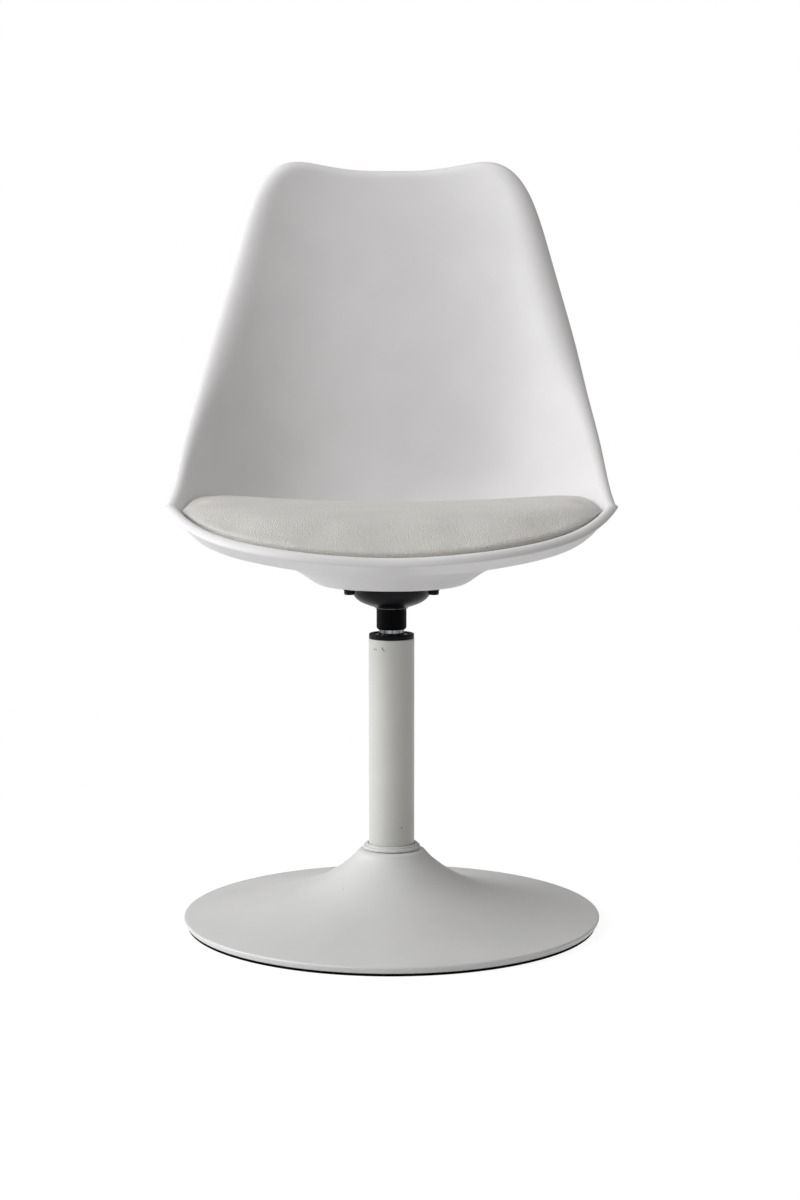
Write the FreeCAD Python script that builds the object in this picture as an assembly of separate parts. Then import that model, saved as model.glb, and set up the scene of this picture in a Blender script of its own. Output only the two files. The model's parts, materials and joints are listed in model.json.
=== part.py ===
import FreeCAD, Part
import math
import os

# Swivel dining chair: a moulded plastic bucket shell with a domed seat cushion,
# carried on a round steel column that turns in a weighted trumpet base.
# Millimetres. The origin is on the floor, on the swivel axis. +Z is up,
# the sitter looks along -Y, and +X is at the right of someone facing the chair.

os.makedirs("parts", exist_ok=True)
Vec = FreeCAD.Vector
UP = Vec(0, 0, 1)
ORIGIN = Vec(0, 0, 0)

# Overrun of every cutting tool past the faces that it cuts
overrun = 2.0
# Sliding gap between a turning piece and its bush, and gap of a piece pressed into another
running_gap = 0.06
press_gap = 0.02
# Gap left where soft pieces lie beside other pieces
soft_gap = 0.7

# Floor ring: black rubber ring that stands a little inside the base's edge
floor_ring_inset = 4.0
floor_ring_width = 24.0
floor_ring_height = 3.0
floor_ring_lip_width = 3.5
floor_ring_lip_height = 3.0

# Base cover: spun steel trumpet, painted
cover_radius = 229.0
cover_thickness = 2.0
cover_top_height = 82.0
cover_neck_radius = 34.0
cover_edge_round = 3.6
cover_corner_round = 2.2
# Height of the cover's top surface just inside its outer edge, and how far up the edge is widest
cover_edge_height = 11.2
cover_widest_share = 0.55
# Curve of the trumpet from neck to edge: share of the way out, share of the way down
trumpet_shares = [(0.012, 0.022), (0.034, 0.090), (0.057, 0.154), (0.080, 0.209), (0.103, 0.258),
                  (0.126, 0.306), (0.162, 0.374), (0.214, 0.459), (0.281, 0.550), (0.371, 0.648),
                  (0.476, 0.735), (0.605, 0.823), (0.735, 0.894), (0.864, 0.951), (0.955, 0.985)]

# Base weight: cast iron disc under the cover
weight_clearance = 1.5
weight_thickness = 6.0
weight_boss_radius = 60.0
weight_boss_height = 21.0
weight_recess_radius = 16.0
weight_recess_depth = 11.0

# Base hub: turned steel socket that holds the column
hub_flange_radius = 48.0
hub_flange_thickness = 6.0
hub_radius = 31.0
hub_floor_thickness = 8.0

# Hub bolt and its washers
hub_bolt_radius = 6.0
hub_bolt_hole_radius = 6.6
hub_bolt_head_width = 19.0
hub_bolt_head_height = 7.5
hub_bolt_bite = 16.0
hub_washer_radius = 12.0
hub_washer_thickness = 2.5
lock_washer_radius = 9.3
lock_washer_thickness = 1.0

# Column: steel tube, painted
column_radius = 25.0
column_wall = 2.0
column_top = 315.5
column_chamfer = 0.6

# Column foot: plug welded in the tube's lower end, threaded for the hub bolt
foot_height = 20.0

# Collar: moulded ring that covers the joint of column and base
collar_radius = 31.4
collar_height = 6.5
collar_gap = 0.2
collar_foot_step = 1.9
collar_foot_height = 0.7
collar_round = 2.6

# Thrust bearing: two flat washers, a cage and balls
bearing_bore_radius = 10.0
bearing_radius = 17.5
race_thickness = 2.5
ball_diameter = 5.0
ball_count = 12
ball_gap = 0.01
cage_thickness = 2.4
cage_margin = 0.9
cage_hole_gap = 0.08
race_bore_gap = 0.35

# Bushes: plastic guides inside the column
lower_bush_length = 48.0
lower_bush_cup_wall = 2.5
upper_bush_length = 60.0

# Cap ring: black moulded flange on the upper bush
cap_height = 5.5
cap_inset = 0.3
cap_round = 1.2
cap_recess_radius = 20.0
cap_recess_depth = 3.0
cap_washer_thickness = 1.5
cap_washer_gap = 0.3

# Spindle: turned steel shaft with a taper at its top
spindle_radius = 14.0
spindle_journal_gap = 0.03
spindle_foot_gap = 1.0
taper_slope = 0.025
spindle_chamfer = 0.8

# Retaining ring in a groove of the spindle under the upper bush
retaining_ring_radius = 17.5
retaining_ring_thickness = 1.5
retaining_ring_depth = 0.9
retaining_ring_play = 0.4
retaining_ring_opening = 6.0

# Taper socket: steel sleeve over the spindle's taper
socket_radius = 16.4
socket_lift = 4.5
socket_chamfer = 2.0
socket_washer_radius = 17.8
socket_washer_thickness = 1.0

# Seat plate: pressed steel square under the shell, and the dish welded below it
plate_width = 104.0
plate_thickness = 3.0
plate_corner_round = 10.0
plate_recess_depth = 2.0
plate_recess_gap = 0.3
plate_hole_square = 90.0
plate_hole_radius = 3.4
dish_radius = 43.0
dish_height = 23.5
dish_skirt_height = 1.5
dish_thickness = 2.5
# Curve of the dish from its skirt to its bottom: share of the radius, share of the depth
dish_shares = [(0.996, 0.12), (0.976, 0.32), (0.912, 0.52), (0.800, 0.70), (0.660, 0.83),
               (0.530, 0.92)]
dish_bottom_share = 0.42

# Plate bolts, their washers and the brass inserts in the shell
bolt_radius = 3.0
bolt_head_width = 10.0
bolt_head_height = 4.0
bolt_length = 14.0
bolt_washer_radius = 6.0
bolt_washer_thickness = 1.2
insert_radius = 4.4
insert_length = 9.5
insert_end_gap = 0.4

# Cushion screws, countersunk into the shell from below and covered by the seat plate
screw_square = 56.0
screw_radius = 2.0
screw_head_radius = 4.0
screw_head_height = 2.4
screw_sink = 0.6
screw_hole_gap = 0.25
screw_bite = 4.0

# Shell: moulded plastic bucket
shell_bottom = 374.0
shell_wall = 4.5
shell_floor_thickness = 13.5
shell_half_width = 240.0
shell_depth = 500.0
shell_rise = 460.0
plinth_flat_radius = 71.0
plinth_foot_radius = 109.0
floor_flat_radius = 42.0
floor_blend_radius = 95.0
shell_hub_radius = 38.0
rim_roll_length = 47.5
rim_tip_round = 2.0
# Distance over which the slope of the pan is taken
slope_step = 1.0

# Side and centre lines of the shell, station by station from front to top.
# Centre: share of the depth, share of the rise over the pan floor. Rail: share of the half width,
# of the depth and of the rise. Then how sharply the side wall turns up, and the share of a dish.
station_shares = [
    (-0.480, 0.0893, 0.983, -0.480, 0.3730, 7.0, 0.36),
    (-0.380, 0.0604, 0.992, -0.380, 0.3424, 9.3, 0.40),
    (-0.280, 0.0367, 1.000, -0.272, 0.3011, 11.0, 0.43),
    (-0.180, 0.0183, 1.000, -0.168, 0.2507, 12.0, 0.44),
    (-0.080, 0.0057, 1.000, -0.068, 0.2047, 11.9, 0.44),
    (0.020, 0.0000, 1.000, 0.024, 0.1888, 10.7, 0.44),
    (0.120, 0.0043, 0.988, 0.100, 0.2113, 8.9, 0.41),
    (0.216, 0.0207, 0.967, 0.164, 0.2703, 7.0, 0.36),
    (0.300, 0.0620, 0.946, 0.220, 0.3598, 5.5, 0.28),
    (0.360, 0.1402, 0.921, 0.269, 0.4685, 4.5, 0.20),
    (0.396, 0.2446, 0.892, 0.312, 0.5750, 3.8, 0.14),
    (0.422, 0.3576, 0.858, 0.350, 0.6750, 3.3, 0.08),
    (0.446, 0.4750, 0.821, 0.385, 0.7707, 3.0, 0.04),
    (0.468, 0.5924, 0.775, 0.417, 0.8598, 2.8, 0.02),
    (0.488, 0.7054, 0.717, 0.446, 0.9359, 2.6, 0.00),
    (0.506, 0.8141, 0.646, 0.473, 1.0011, 2.5, 0.00),
    (0.524, 0.9185, 0.583, 0.498, 1.0707, 2.4, 0.00),
    (0.542, 1.0228, 0.542, 0.522, 1.1467, 2.4, 0.00)]
# Shares of the shell's depth, as laid flat: first station to swivel axis, and station to station
axis_share = 0.48
station_pitch_share = 0.1

# Outline of the shell laid flat, from front centre to top centre: share of the half width,
# share of the depth from the axis, share of the longest roll of the rim, turn of the roll in
# degrees, and how much it tightens towards its end
outline_shares = [
    (0.000, -0.436, 0.285, 98, 1.0), (0.250, -0.434, 0.285, 98, 1.0), (0.492, -0.408, 0.283, 97, 1.0),
    (0.706, -0.348, 0.291, 100, 1.0), (0.864, -0.262, 0.296, 102, 1.0),
    (0.946, -0.164, 0.294, 104, 1.0), (0.962, -0.060, 0.280, 102, 1.0),
    (0.971, 0.050, 0.275, 100, 1.0), (0.952, 0.180, 0.300, 100, 1.1),
    (0.912, 0.310, 0.430, 101, 1.4), (0.833, 0.440, 0.680, 98, 1.9),
    (0.747, 0.570, 0.941, 98, 2.0), (0.682, 0.690, 1.000, 98, 2.0), (0.627, 0.810, 0.968, 98, 2.0),
    (0.594, 0.910, 0.855, 98, 2.0), (0.564, 0.996, 0.700, 97, 1.8), (0.505, 1.075, 0.547, 95, 1.5),
    (0.404, 1.125, 0.459, 95, 1.3), (0.233, 1.153, 0.459, 95, 1.3), (0.000, 1.164, 0.459, 95, 1.3)]

# Cushion: upholstered pad on a moulded board, its leather drawn round the edge and under the board
cushion_crown = 460.0
cushion_saddle = 9.0
cushion_edge_lift = 7.0
leather_thickness = 1.2
leather_gap = 0.5
foam_side_gap = 2.5
board_thickness = 5.0
cushion_hub_radius = 30.0
# Outline of the cushion laid flat, front centre to back centre: share of the half width, share of
# the depth from the axis, how full the pad is towards that edge, share of the edge's lift
cushion_shares = [
    (0.000, -0.423, 3.2, 0.65), (0.240, -0.421, 3.2, 0.65), (0.472, -0.396, 3.4, 0.67),
    (0.680, -0.338, 4.2, 0.75), (0.836, -0.255, 6.0, 0.85), (0.918, -0.160, 8.5, 0.95),
    (0.940, -0.060, 11.0, 1.00), (0.943, 0.050, 11.0, 1.00), (0.910, 0.160, 8.0, 1.00),
    (0.815, 0.250, 5.0, 1.00), (0.650, 0.310, 4.0, 1.00), (0.440, 0.340, 3.5, 1.00),
    (0.220, 0.352, 3.2, 1.00), (0.000, 0.356, 3.2, 1.00)]
cushion_round_share = 0.60
# Where the drawn-in side turns under the board: share of the way out to the edge, share of the lift
turn_shares = [(1.0, 0.55), (0.994, 0.20), (0.972, 0.0)]
# Ends of the tucked leather, of the board's rebate for it and of the board, on the way out
tuck_share = 0.84
rebate_share = 0.80
board_share = 0.955

# Number of points around and along the moulded surfaces, and how they crowd towards the rim
points_around = 72
points_along = 26
rim_crowding = 1.35
roll_points = 7
roll_steps = 24
cushion_points = 14
tuck_points = 5

# Heights that follow from the sizes above
weight_bottom = floor_ring_height
boss_top = weight_bottom + weight_boss_height
recess_top = weight_bottom + weight_recess_depth
hub_top = cover_top_height - cover_thickness
foot_bottom = boss_top + hub_floor_thickness
foot_top = foot_bottom + foot_height
column_bore = column_radius - column_wall
ball_centre = foot_top + race_thickness + ball_diameter / 2
race_top_bottom = foot_top + race_thickness + ball_diameter
spindle_bottom = race_top_bottom + race_thickness
cap_top = column_top + cap_height
upper_bush_bottom = column_top - upper_bush_length
socket_bottom = cap_top + socket_lift
plate_top = shell_bottom + plate_recess_depth
plate_bottom = plate_top - plate_thickness
dish_bottom = plate_bottom - dish_height
taper_start = socket_bottom
pan_floor = shell_bottom + shell_floor_thickness


def save(name, shape):
    """Write one node and say what it holds."""
    shape.exportStep("parts/" + name + ".step")
    facts = (name, len(shape.Solids), shape.Volume, shape.isValid())
    print("%-18s solids %2d  volume %9.0f  valid %s" % facts)


def cylinder(radius, bottom, top, x=0.0, y=0.0):
    return Part.makeCylinder(radius, top - bottom, Vec(x, y, bottom), UP)


def tube(outer, inner, bottom, top, x=0.0, y=0.0):
    bore = cylinder(inner, bottom - overrun, top + overrun, x, y)
    return cylinder(outer, bottom, top, x, y).cut(bore)


def turned(edges):
    """Solid of revolution about Z of a closed outline in the XZ plane."""
    return Part.Face(Part.Wire(edges)).revolve(ORIGIN, UP, 360)


def path(points):
    """Straight edges through radius and height pairs."""
    ends = [Vec(r, 0, z) for r, z in points]
    return [Part.LineSegment(a, b).toShape() for a, b in zip(ends, ends[1:])]


def curve(points):
    """One smooth edge through radius and height pairs."""
    line = Part.BSplineCurve()
    line.interpolate([Vec(r, 0, z) for r, z in points])
    return line.toShape()


def hexagon(width, bottom, top, x=0.0, y=0.0):
    """Hexagonal bar, its width across flats."""
    reach = width / math.sqrt(3)
    corners = [Vec(x + reach * math.cos(math.radians(60 * i)),
                   y + reach * math.sin(math.radians(60 * i)), bottom) for i in range(7)]
    return Part.Face(Part.makePolygon(corners)).extrude(Vec(0, 0, top - bottom))


def square(width, bottom, top, corner):
    """Square plate with rounded corners, centred on the axis."""
    block = Part.makeBox(width, width, top - bottom, Vec(-width / 2, -width / 2, bottom))
    upright = [e for e in block.Edges if abs(e.Vertexes[0].Z - e.Vertexes[-1].Z) > (top - bottom) / 2]
    return block.makeFillet(corner, upright)


def four_places(width):
    """Corners of a square about the axis."""
    half = width / 2
    return [(sx * half, sy * half) for sx in (-1, 1) for sy in (-1, 1)]


def group(solids):
    return Part.makeCompound(solids)


# Pieces of the base

def floor_ring():
    outer = cover_radius - floor_ring_inset
    lip_outer = cover_radius - cover_edge_round - cover_thickness - soft_gap
    ring = tube(outer, outer - floor_ring_width, 0, floor_ring_height)
    lip = tube(lip_outer, lip_outer - floor_ring_lip_width, floor_ring_height,
               floor_ring_height + floor_ring_lip_height)
    return ring.fuse(lip).removeSplitter()


def trumpet_points(inset):
    """Points of the trumpet's outer curve, moved inwards along the wall by the inset."""
    reach = cover_radius - cover_edge_round - cover_neck_radius
    fall = cover_top_height - cover_edge_height
    outer = [(cover_neck_radius + a * reach, cover_top_height - b * fall) for a, b in trumpet_shares]
    if inset == 0:
        return outer
    moved = []
    for i, (r, z) in enumerate(outer):
        before, after = outer[max(i - 1, 0)], outer[min(i + 1, len(outer) - 1)]
        dr, dz = after[0] - before[0], after[1] - before[1]
        length = math.hypot(dr, dz)
        moved.append((r + inset * dz / length, z - inset * dr / length))
    return moved


def base_cover():
    """Spun trumpet: flat top, flared side, edge turned down and under to the floor ring."""
    bottom = floor_ring_height
    hem = cover_radius - cover_edge_round
    outer = trumpet_points(0)
    inner = trumpet_points(cover_thickness)
    neck = column_radius + collar_gap
    widest = bottom + (cover_edge_height - bottom) * cover_widest_share
    inner_neck = cover_top_height - cover_thickness
    inner_wide = cover_radius - cover_thickness
    edges = [curve([(cover_neck_radius - cover_corner_round, cover_top_height)] + outer
                   + [(hem, cover_edge_height)])]
    edges.append(curve([(hem, cover_edge_height), (cover_radius, widest), (hem, bottom)]))
    edges += path([(hem, bottom), (hem - cover_thickness, bottom)])
    edges.append(curve([(hem - cover_thickness, bottom), (inner_wide, widest),
                        (hem - cover_thickness, cover_edge_height - cover_thickness)]))
    edges.append(curve([(hem - cover_thickness, cover_edge_height - cover_thickness)] + inner[::-1]
                       + [(cover_neck_radius - cover_corner_round, inner_neck)]))
    edges += path([(cover_neck_radius - cover_corner_round, inner_neck), (neck, inner_neck),
                   (neck, cover_top_height), (cover_neck_radius - cover_corner_round, cover_top_height)])
    return turned(edges)


def base_weight():
    lip_inner = cover_radius - cover_edge_round - cover_thickness - soft_gap - floor_ring_lip_width
    outer = lip_inner - weight_clearance
    disc = cylinder(outer, weight_bottom, weight_bottom + weight_thickness)
    boss = cylinder(weight_boss_radius, weight_bottom, boss_top)
    body = disc.fuse(boss).removeSplitter()
    body = body.cut(cylinder(weight_recess_radius, weight_bottom - overrun, recess_top))
    return body.cut(cylinder(hub_bolt_hole_radius, weight_bottom, boss_top + overrun))


def base_hub():
    flange = cylinder(hub_flange_radius, boss_top, boss_top + hub_flange_thickness)
    body = flange.fuse(cylinder(hub_radius, boss_top, hub_top)).removeSplitter()
    body = body.cut(cylinder(column_radius + press_gap, foot_bottom, hub_top + overrun))
    return body.cut(cylinder(hub_bolt_hole_radius, boss_top - overrun, foot_bottom + overrun))


def hub_bolt():
    seat = recess_top - hub_washer_thickness - lock_washer_thickness
    head = hexagon(hub_bolt_head_width, seat - hub_bolt_head_height, seat)
    shank = cylinder(hub_bolt_radius, seat, foot_bottom + hub_bolt_bite)
    return head.fuse(shank)


def hub_washer():
    return tube(hub_washer_radius, hub_bolt_hole_radius, recess_top - hub_washer_thickness, recess_top)


def lock_washer():
    top = recess_top - hub_washer_thickness
    return tube(lock_washer_radius, hub_bolt_radius + press_gap, top - lock_washer_thickness, top)


# Pieces of the column

def column_tube():
    body = tube(column_radius, column_bore, foot_bottom, column_top)
    rim = [e for e in body.Edges if e.BoundBox.ZMin > column_top - press_gap
           and e.BoundBox.XMax > column_bore + press_gap]
    return body.makeChamfer(column_chamfer, rim)


def column_foot():
    plug = cylinder(column_bore - press_gap, foot_bottom, foot_top)
    thread = cylinder(hub_bolt_radius + press_gap, foot_bottom - overrun,
                      foot_bottom + hub_bolt_bite + overrun)
    return plug.cut(thread)


def base_collar():
    """Half-round ring, stepped in at its foot so that a shadow line shows under it."""
    bottom = cover_top_height
    top = bottom + collar_height
    inner = column_radius + collar_gap
    step = collar_radius - collar_foot_step
    shoulder = bottom + collar_foot_height
    round_start = top - collar_round
    body = turned(path([(inner, bottom), (step, bottom), (step, shoulder), (collar_radius, shoulder),
                        (collar_radius, top), (inner, top), (inner, bottom)]))
    rim = [e for e in body.Edges if e.Vertexes[0].Z > round_start
           and e.Curve.TypeId == "Part::GeomCircle" and e.Curve.Radius > step]
    return body.makeFillet(collar_round, rim)


def lower_race():
    return tube(bearing_radius, bearing_bore_radius + race_bore_gap, foot_top, foot_top + race_thickness)


def lower_bush():
    """Guide bush with a cup at its foot that goes round the thrust bearing."""
    top = foot_top + lower_bush_length
    cup_top = spindle_bottom + running_gap
    body = cylinder(column_bore - press_gap, foot_top, top)
    body = body.cut(cylinder(spindle_radius + running_gap, foot_top - overrun, top + overrun))
    return body.cut(cylinder(column_bore - lower_bush_cup_wall, foot_top - overrun, cup_top))


def cap_ring():
    """Upper guide bush with the black flange that caps the column."""
    radius = column_radius - cap_inset
    flange = cylinder(radius, column_top, cap_top)
    rim = [e for e in flange.Edges if abs(e.BoundBox.ZMin - cap_top) < press_gap
           and e.BoundBox.ZLength < press_gap]
    flange = flange.makeFillet(cap_round, rim)
    body = flange.fuse(cylinder(column_bore - press_gap, upper_bush_bottom, column_top))
    body = body.cut(cylinder(cap_recess_radius, cap_top - cap_recess_depth, cap_top + overrun))
    return body.cut(cylinder(spindle_radius + running_gap, upper_bush_bottom - overrun, cap_top))


def cap_washer():
    bottom = cap_top - cap_recess_depth
    return tube(cap_recess_radius - cap_washer_gap, spindle_radius + cap_washer_gap, bottom,
                bottom + cap_washer_thickness)


# Pieces of the bearing

def ball_places():
    pitch = (bearing_bore_radius + bearing_radius) / 2
    turns = [2 * math.pi * i / ball_count for i in range(ball_count)]
    return [Vec(pitch * math.cos(a), pitch * math.sin(a), ball_centre) for a in turns]


def bearing_balls():
    return group([Part.makeSphere(ball_diameter / 2 - ball_gap, place) for place in ball_places()])


def bearing_cage():
    low, high = ball_centre - cage_thickness / 2, ball_centre + cage_thickness / 2
    ring = tube(bearing_radius - cage_margin, bearing_bore_radius + cage_margin, low, high)
    pocket = ball_diameter / 2 + cage_hole_gap
    for place in ball_places():
        ring = ring.cut(cylinder(pocket, low - overrun, high + overrun, place.x, place.y))
    return ring


# Pieces that turn with the seat

def upper_race():
    return tube(bearing_radius, bearing_bore_radius, race_top_bottom, spindle_bottom)


def groove_bottom():
    return upper_bush_bottom - retaining_ring_play - retaining_ring_thickness


def spindle():
    journal = cylinder(bearing_bore_radius - spindle_journal_gap, foot_top + spindle_foot_gap, spindle_bottom)
    shaft = cylinder(spindle_radius, spindle_bottom, taper_start)
    length = plate_top - taper_start
    taper = Part.makeCone(spindle_radius, spindle_radius - taper_slope * length, length,
                          Vec(0, 0, taper_start), UP)
    body = journal.fuse(shaft).fuse(taper).removeSplitter()
    groove = tube(spindle_radius + overrun, spindle_radius - retaining_ring_depth, groove_bottom(),
                  groove_bottom() + retaining_ring_thickness)
    body = body.cut(groove)
    top = [e for e in body.Edges if abs(e.BoundBox.ZMin - plate_top) < press_gap
           and e.BoundBox.ZLength < press_gap]
    return body.makeChamfer(spindle_chamfer, top)


def retaining_ring():
    """Open steel ring that snaps into the spindle's groove."""
    low = groove_bottom()
    high = low + retaining_ring_thickness
    ring = tube(retaining_ring_radius, spindle_radius - retaining_ring_depth + press_gap, low, high)
    slot = Part.makeBox(retaining_ring_radius + overrun, retaining_ring_opening, high - low + 2 * overrun,
                        Vec(0, -retaining_ring_opening / 2, low - overrun))
    return ring.cut(slot)


def taper_socket():
    body = cylinder(socket_radius, socket_bottom, plate_top)
    foot = [e for e in body.Edges if abs(e.BoundBox.ZMax - socket_bottom) < press_gap]
    body = body.makeChamfer(socket_chamfer / 2, foot)
    length = plate_top - taper_start
    start = spindle_radius + press_gap + taper_slope * overrun
    total = length + 2 * overrun
    bore = Part.makeCone(start, start - taper_slope * total, total, Vec(0, 0, taper_start - overrun), UP)
    return body.cut(bore)


def socket_washer():
    return tube(socket_washer_radius, socket_radius + press_gap, dish_bottom - socket_washer_thickness,
                dish_bottom)


def dish_profile(inset):
    """Curve of the dish from its skirt to its flat bottom, moved in by the inset."""
    skirt = plate_bottom - dish_skirt_height
    depth = skirt - dish_bottom - inset
    radius = dish_radius - inset
    points = [(radius, skirt)]
    points += [(radius * a, skirt - depth * b) for a, b in dish_shares]
    return points + [(radius * dish_bottom_share, dish_bottom + inset)]


def plate_dish():
    outer = dish_profile(0)
    inner = dish_profile(dish_thickness)
    bore = socket_radius + press_gap
    edges = path([(dish_radius, plate_bottom), outer[0]])
    edges.append(curve(outer))
    edges += path([outer[-1], (bore, dish_bottom), (bore, dish_bottom + dish_thickness), inner[-1]])
    edges.append(curve(inner[::-1]))
    edges += path([inner[0], (dish_radius - dish_thickness, plate_bottom), (dish_radius, plate_bottom)])
    return turned(edges)


def seat_plate():
    body = square(plate_width, plate_bottom, plate_top, plate_corner_round)
    body = body.cut(cylinder(socket_radius + press_gap, plate_bottom - overrun, plate_top + overrun))
    for x, y in four_places(plate_hole_square):
        body = body.cut(cylinder(plate_hole_radius, plate_bottom - overrun, plate_top + overrun, x, y))
    return body


def plate_washers():
    low = plate_bottom - bolt_washer_thickness
    return group([tube(bolt_washer_radius, plate_hole_radius, low, plate_bottom, x, y)
                  for x, y in four_places(plate_hole_square)])


def plate_bolts():
    seat = plate_bottom - bolt_washer_thickness
    bolts = []
    for x, y in four_places(plate_hole_square):
        head = hexagon(bolt_head_width, seat - bolt_head_height, seat, x, y)
        low = seat - bolt_head_height
        small, wide = bolt_head_width / 2, bolt_head_width / 2 + bolt_head_height
        chamfer = Part.makeCone(small, wide, bolt_head_height, Vec(x, y, low), UP)
        bolts.append(head.common(chamfer).fuse(cylinder(bolt_radius, seat, seat + bolt_length, x, y)))
    return group(bolts)


def shell_inserts():
    low, high = plate_top, plate_top + insert_length
    return group([tube(insert_radius, bolt_radius + press_gap, low, high, x, y)
                  for x, y in four_places(plate_hole_square)])


def screw_shape(x, y, gap):
    """Countersunk screw, or with a gap the hole for it."""
    low = plate_top + screw_sink
    head = Part.makeCone(screw_head_radius + gap, screw_radius + gap, screw_head_height, Vec(x, y, low), UP)
    tip = pan_floor + soft_gap + screw_bite
    return head.fuse(cylinder(screw_radius + gap, low, tip, x, y))


def cushion_screws():
    return group([screw_shape(x, y, 0) for x, y in four_places(screw_square)])


# Moulded surfaces

def cubic_weights(f):
    """Weights of four neighbouring points in a smooth run, at share f between the middle two."""
    g = 1 - f
    return (g ** 3 / 6, (3 * f ** 3 - 6 * f ** 2 + 4) / 6,
            (-3 * f ** 3 + 3 * f ** 2 + 3 * f + 1) / 6, f ** 3 / 6)


def blend_rows(rows, weights):
    return [sum(w * row[c] for w, row in zip(weights, rows)) for c in range(len(rows[0]))]


def open_run(rows, position):
    """Row at a position along a smooth run that starts and ends at its outer rows."""
    last = len(rows) - 1
    position = min(max(position, 0), last)
    i = min(int(position), last - 1)
    first = [2 * a - b for a, b in zip(rows[0], rows[1])]
    final = [2 * a - b for a, b in zip(rows[last], rows[last - 1])]
    padded = [first] + [list(r) for r in rows] + [final]
    return blend_rows(padded[i:i + 4], cubic_weights(position - i))


def closed_run(rows, share):
    """Row at a share of the way round a smooth closed run."""
    count = len(rows)
    place = share * count
    i = int(place)
    four = [rows[(i + k) % count] for k in (-1, 0, 1, 2)]
    return blend_rows(four, cubic_weights(place - i))


def mirrored(rows):
    """Closed outline from its right half, front centre to back centre."""
    left = [(-row[0],) + tuple(row[1:]) for row in rows[1:-1]]
    return list(rows) + left[::-1]


def ease(share):
    share = min(max(share, 0), 1)
    return share * share * (3 - 2 * share)


def pan_point(x, along):
    """Point of the shell's inner face. x is across, along is measured front to back as laid flat.
    Each station joins its centre point to its rail by a dish and a wall that rises as a power
    of the way across. The middle of the pan is flat."""
    station = (axis_share + along / shell_depth) / station_pitch_share
    row = open_run(station_shares, station)
    way = abs(x) / (row[2] * shell_half_width)
    rise = row[6] * way ** 2 + (1 - row[6]) * way ** row[5]
    y = shell_depth * (row[0] + (row[3] - row[0]) * rise)
    z = pan_floor + shell_rise * (row[1] + (row[4] - row[1]) * rise)
    flat = ease((floor_blend_radius - math.hypot(x, y)) / (floor_blend_radius - floor_flat_radius))
    return Vec(x, y, z + (pan_floor - z) * flat)


def pan_normal(x, along):
    """Direction out of the inner face, up on the seat and forward on the back."""
    step = slope_step
    across = pan_point(x + step, along) - pan_point(x - step, along)
    forth = pan_point(x, along + step) - pan_point(x, along - step)
    normal = across.cross(forth)
    return normal.normalize()


def flat_outline(rows):
    """Points round a laid-flat outline: direction, reach, and the rest of each row."""
    full = mirrored(rows)
    places = []
    for i in range(points_around):
        row = closed_run(full, i / points_around)
        x, along = row[0] * shell_half_width, row[1] * shell_depth
        reach = math.hypot(x, along)
        places.append((x / reach, along / reach, reach, row[2:]))
    return places


def through(points, closed):
    """Poles for a smooth run that passes through the points."""
    poles = list(points)
    count = len(points)
    places = range(count) if closed else range(1, count - 1)
    for i in places:
        before, here, after = points[i - 1], points[i], points[(i + 1) % count]
        poles[i] = here - (before - here * 2 + after) / 6
    return poles


def skin(columns):
    """Closed solid from columns of points that all run from one flat end ring to the other."""
    columns = [through(column, False) for column in columns]
    rings = [through([column[j] for column in columns], True) for j in range(len(columns[0]))]
    rings[0] = flatten_ring(rings[0])
    rings[-1] = flatten_ring(rings[-1])
    around, along = len(rings[0]), len(rings)
    poles = [[ring[i] for ring in rings] for i in range(around)]
    surface = Part.BSplineSurface()
    ends = [4] + [1] * (along - 4) + [4]
    surface.buildFromPolesMultsKnots(poles, [1] * (around + 1), ends, list(range(around + 1)),
                                     list(range(along - 2)), True, False, 3, 3)
    side = surface.toShape()
    caps = [Part.Face(Part.Wire(e)) for e in side.Edges if e.isClosed()]
    hull = Part.makeShell([side] + caps)
    hull.sewShape()
    body = Part.makeSolid(hull)
    if body.Volume < 0:
        body.reverse()
    return body


def flatten_ring(ring):
    """Bring a ring that is flat but for rounding into one level plane."""
    level = sum(point.z for point in ring) / len(ring)
    return [Vec(point.x, point.y, level) for point in ring]


def roll_reach(share, turn, tightening):
    """Way out and way back at a share of a roll of length one, summed over short steps."""
    out, back = 0.0, 0.0
    for j in range(roll_steps):
        angle = turn * (share * (j + 0.5) / roll_steps) ** tightening
        out += math.cos(angle) * share / roll_steps
        back += math.sin(angle) * share / roll_steps
    return out, back


def rim_roll(rim, normals, i, length, turn, tightening):
    """Points and directions of the outward roll at place i of the rim."""
    before, after = rim[i - 1], rim[(i + 1) % len(rim)]
    forth = (after - before).normalize()
    outward = forth.cross(normals[i]).normalize()
    points = []
    for k in range(1, roll_points + 1):
        share = k / roll_points
        angle = math.radians(turn) * share ** tightening
        out, back = roll_reach(share, math.radians(turn), tightening)
        point = rim[i] + outward * (length * out) - normals[i] * (length * back)
        direction = normals[i] * math.cos(angle) + outward * math.sin(angle)
        points.append((point, direction))
    tip = outward * math.cos(math.radians(turn)) - normals[i] * math.sin(math.radians(turn))
    return points, tip


def outer_point(point, direction):
    """Point of the outer face: one wall behind the inner face, drawn down to the plinth."""
    low = point - direction * shell_wall
    share = (plinth_foot_radius - math.hypot(low.x, low.y)) / (plinth_foot_radius - plinth_flat_radius)
    return Vec(low.x, low.y, low.z + (shell_bottom - low.z) * ease(share))


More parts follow.
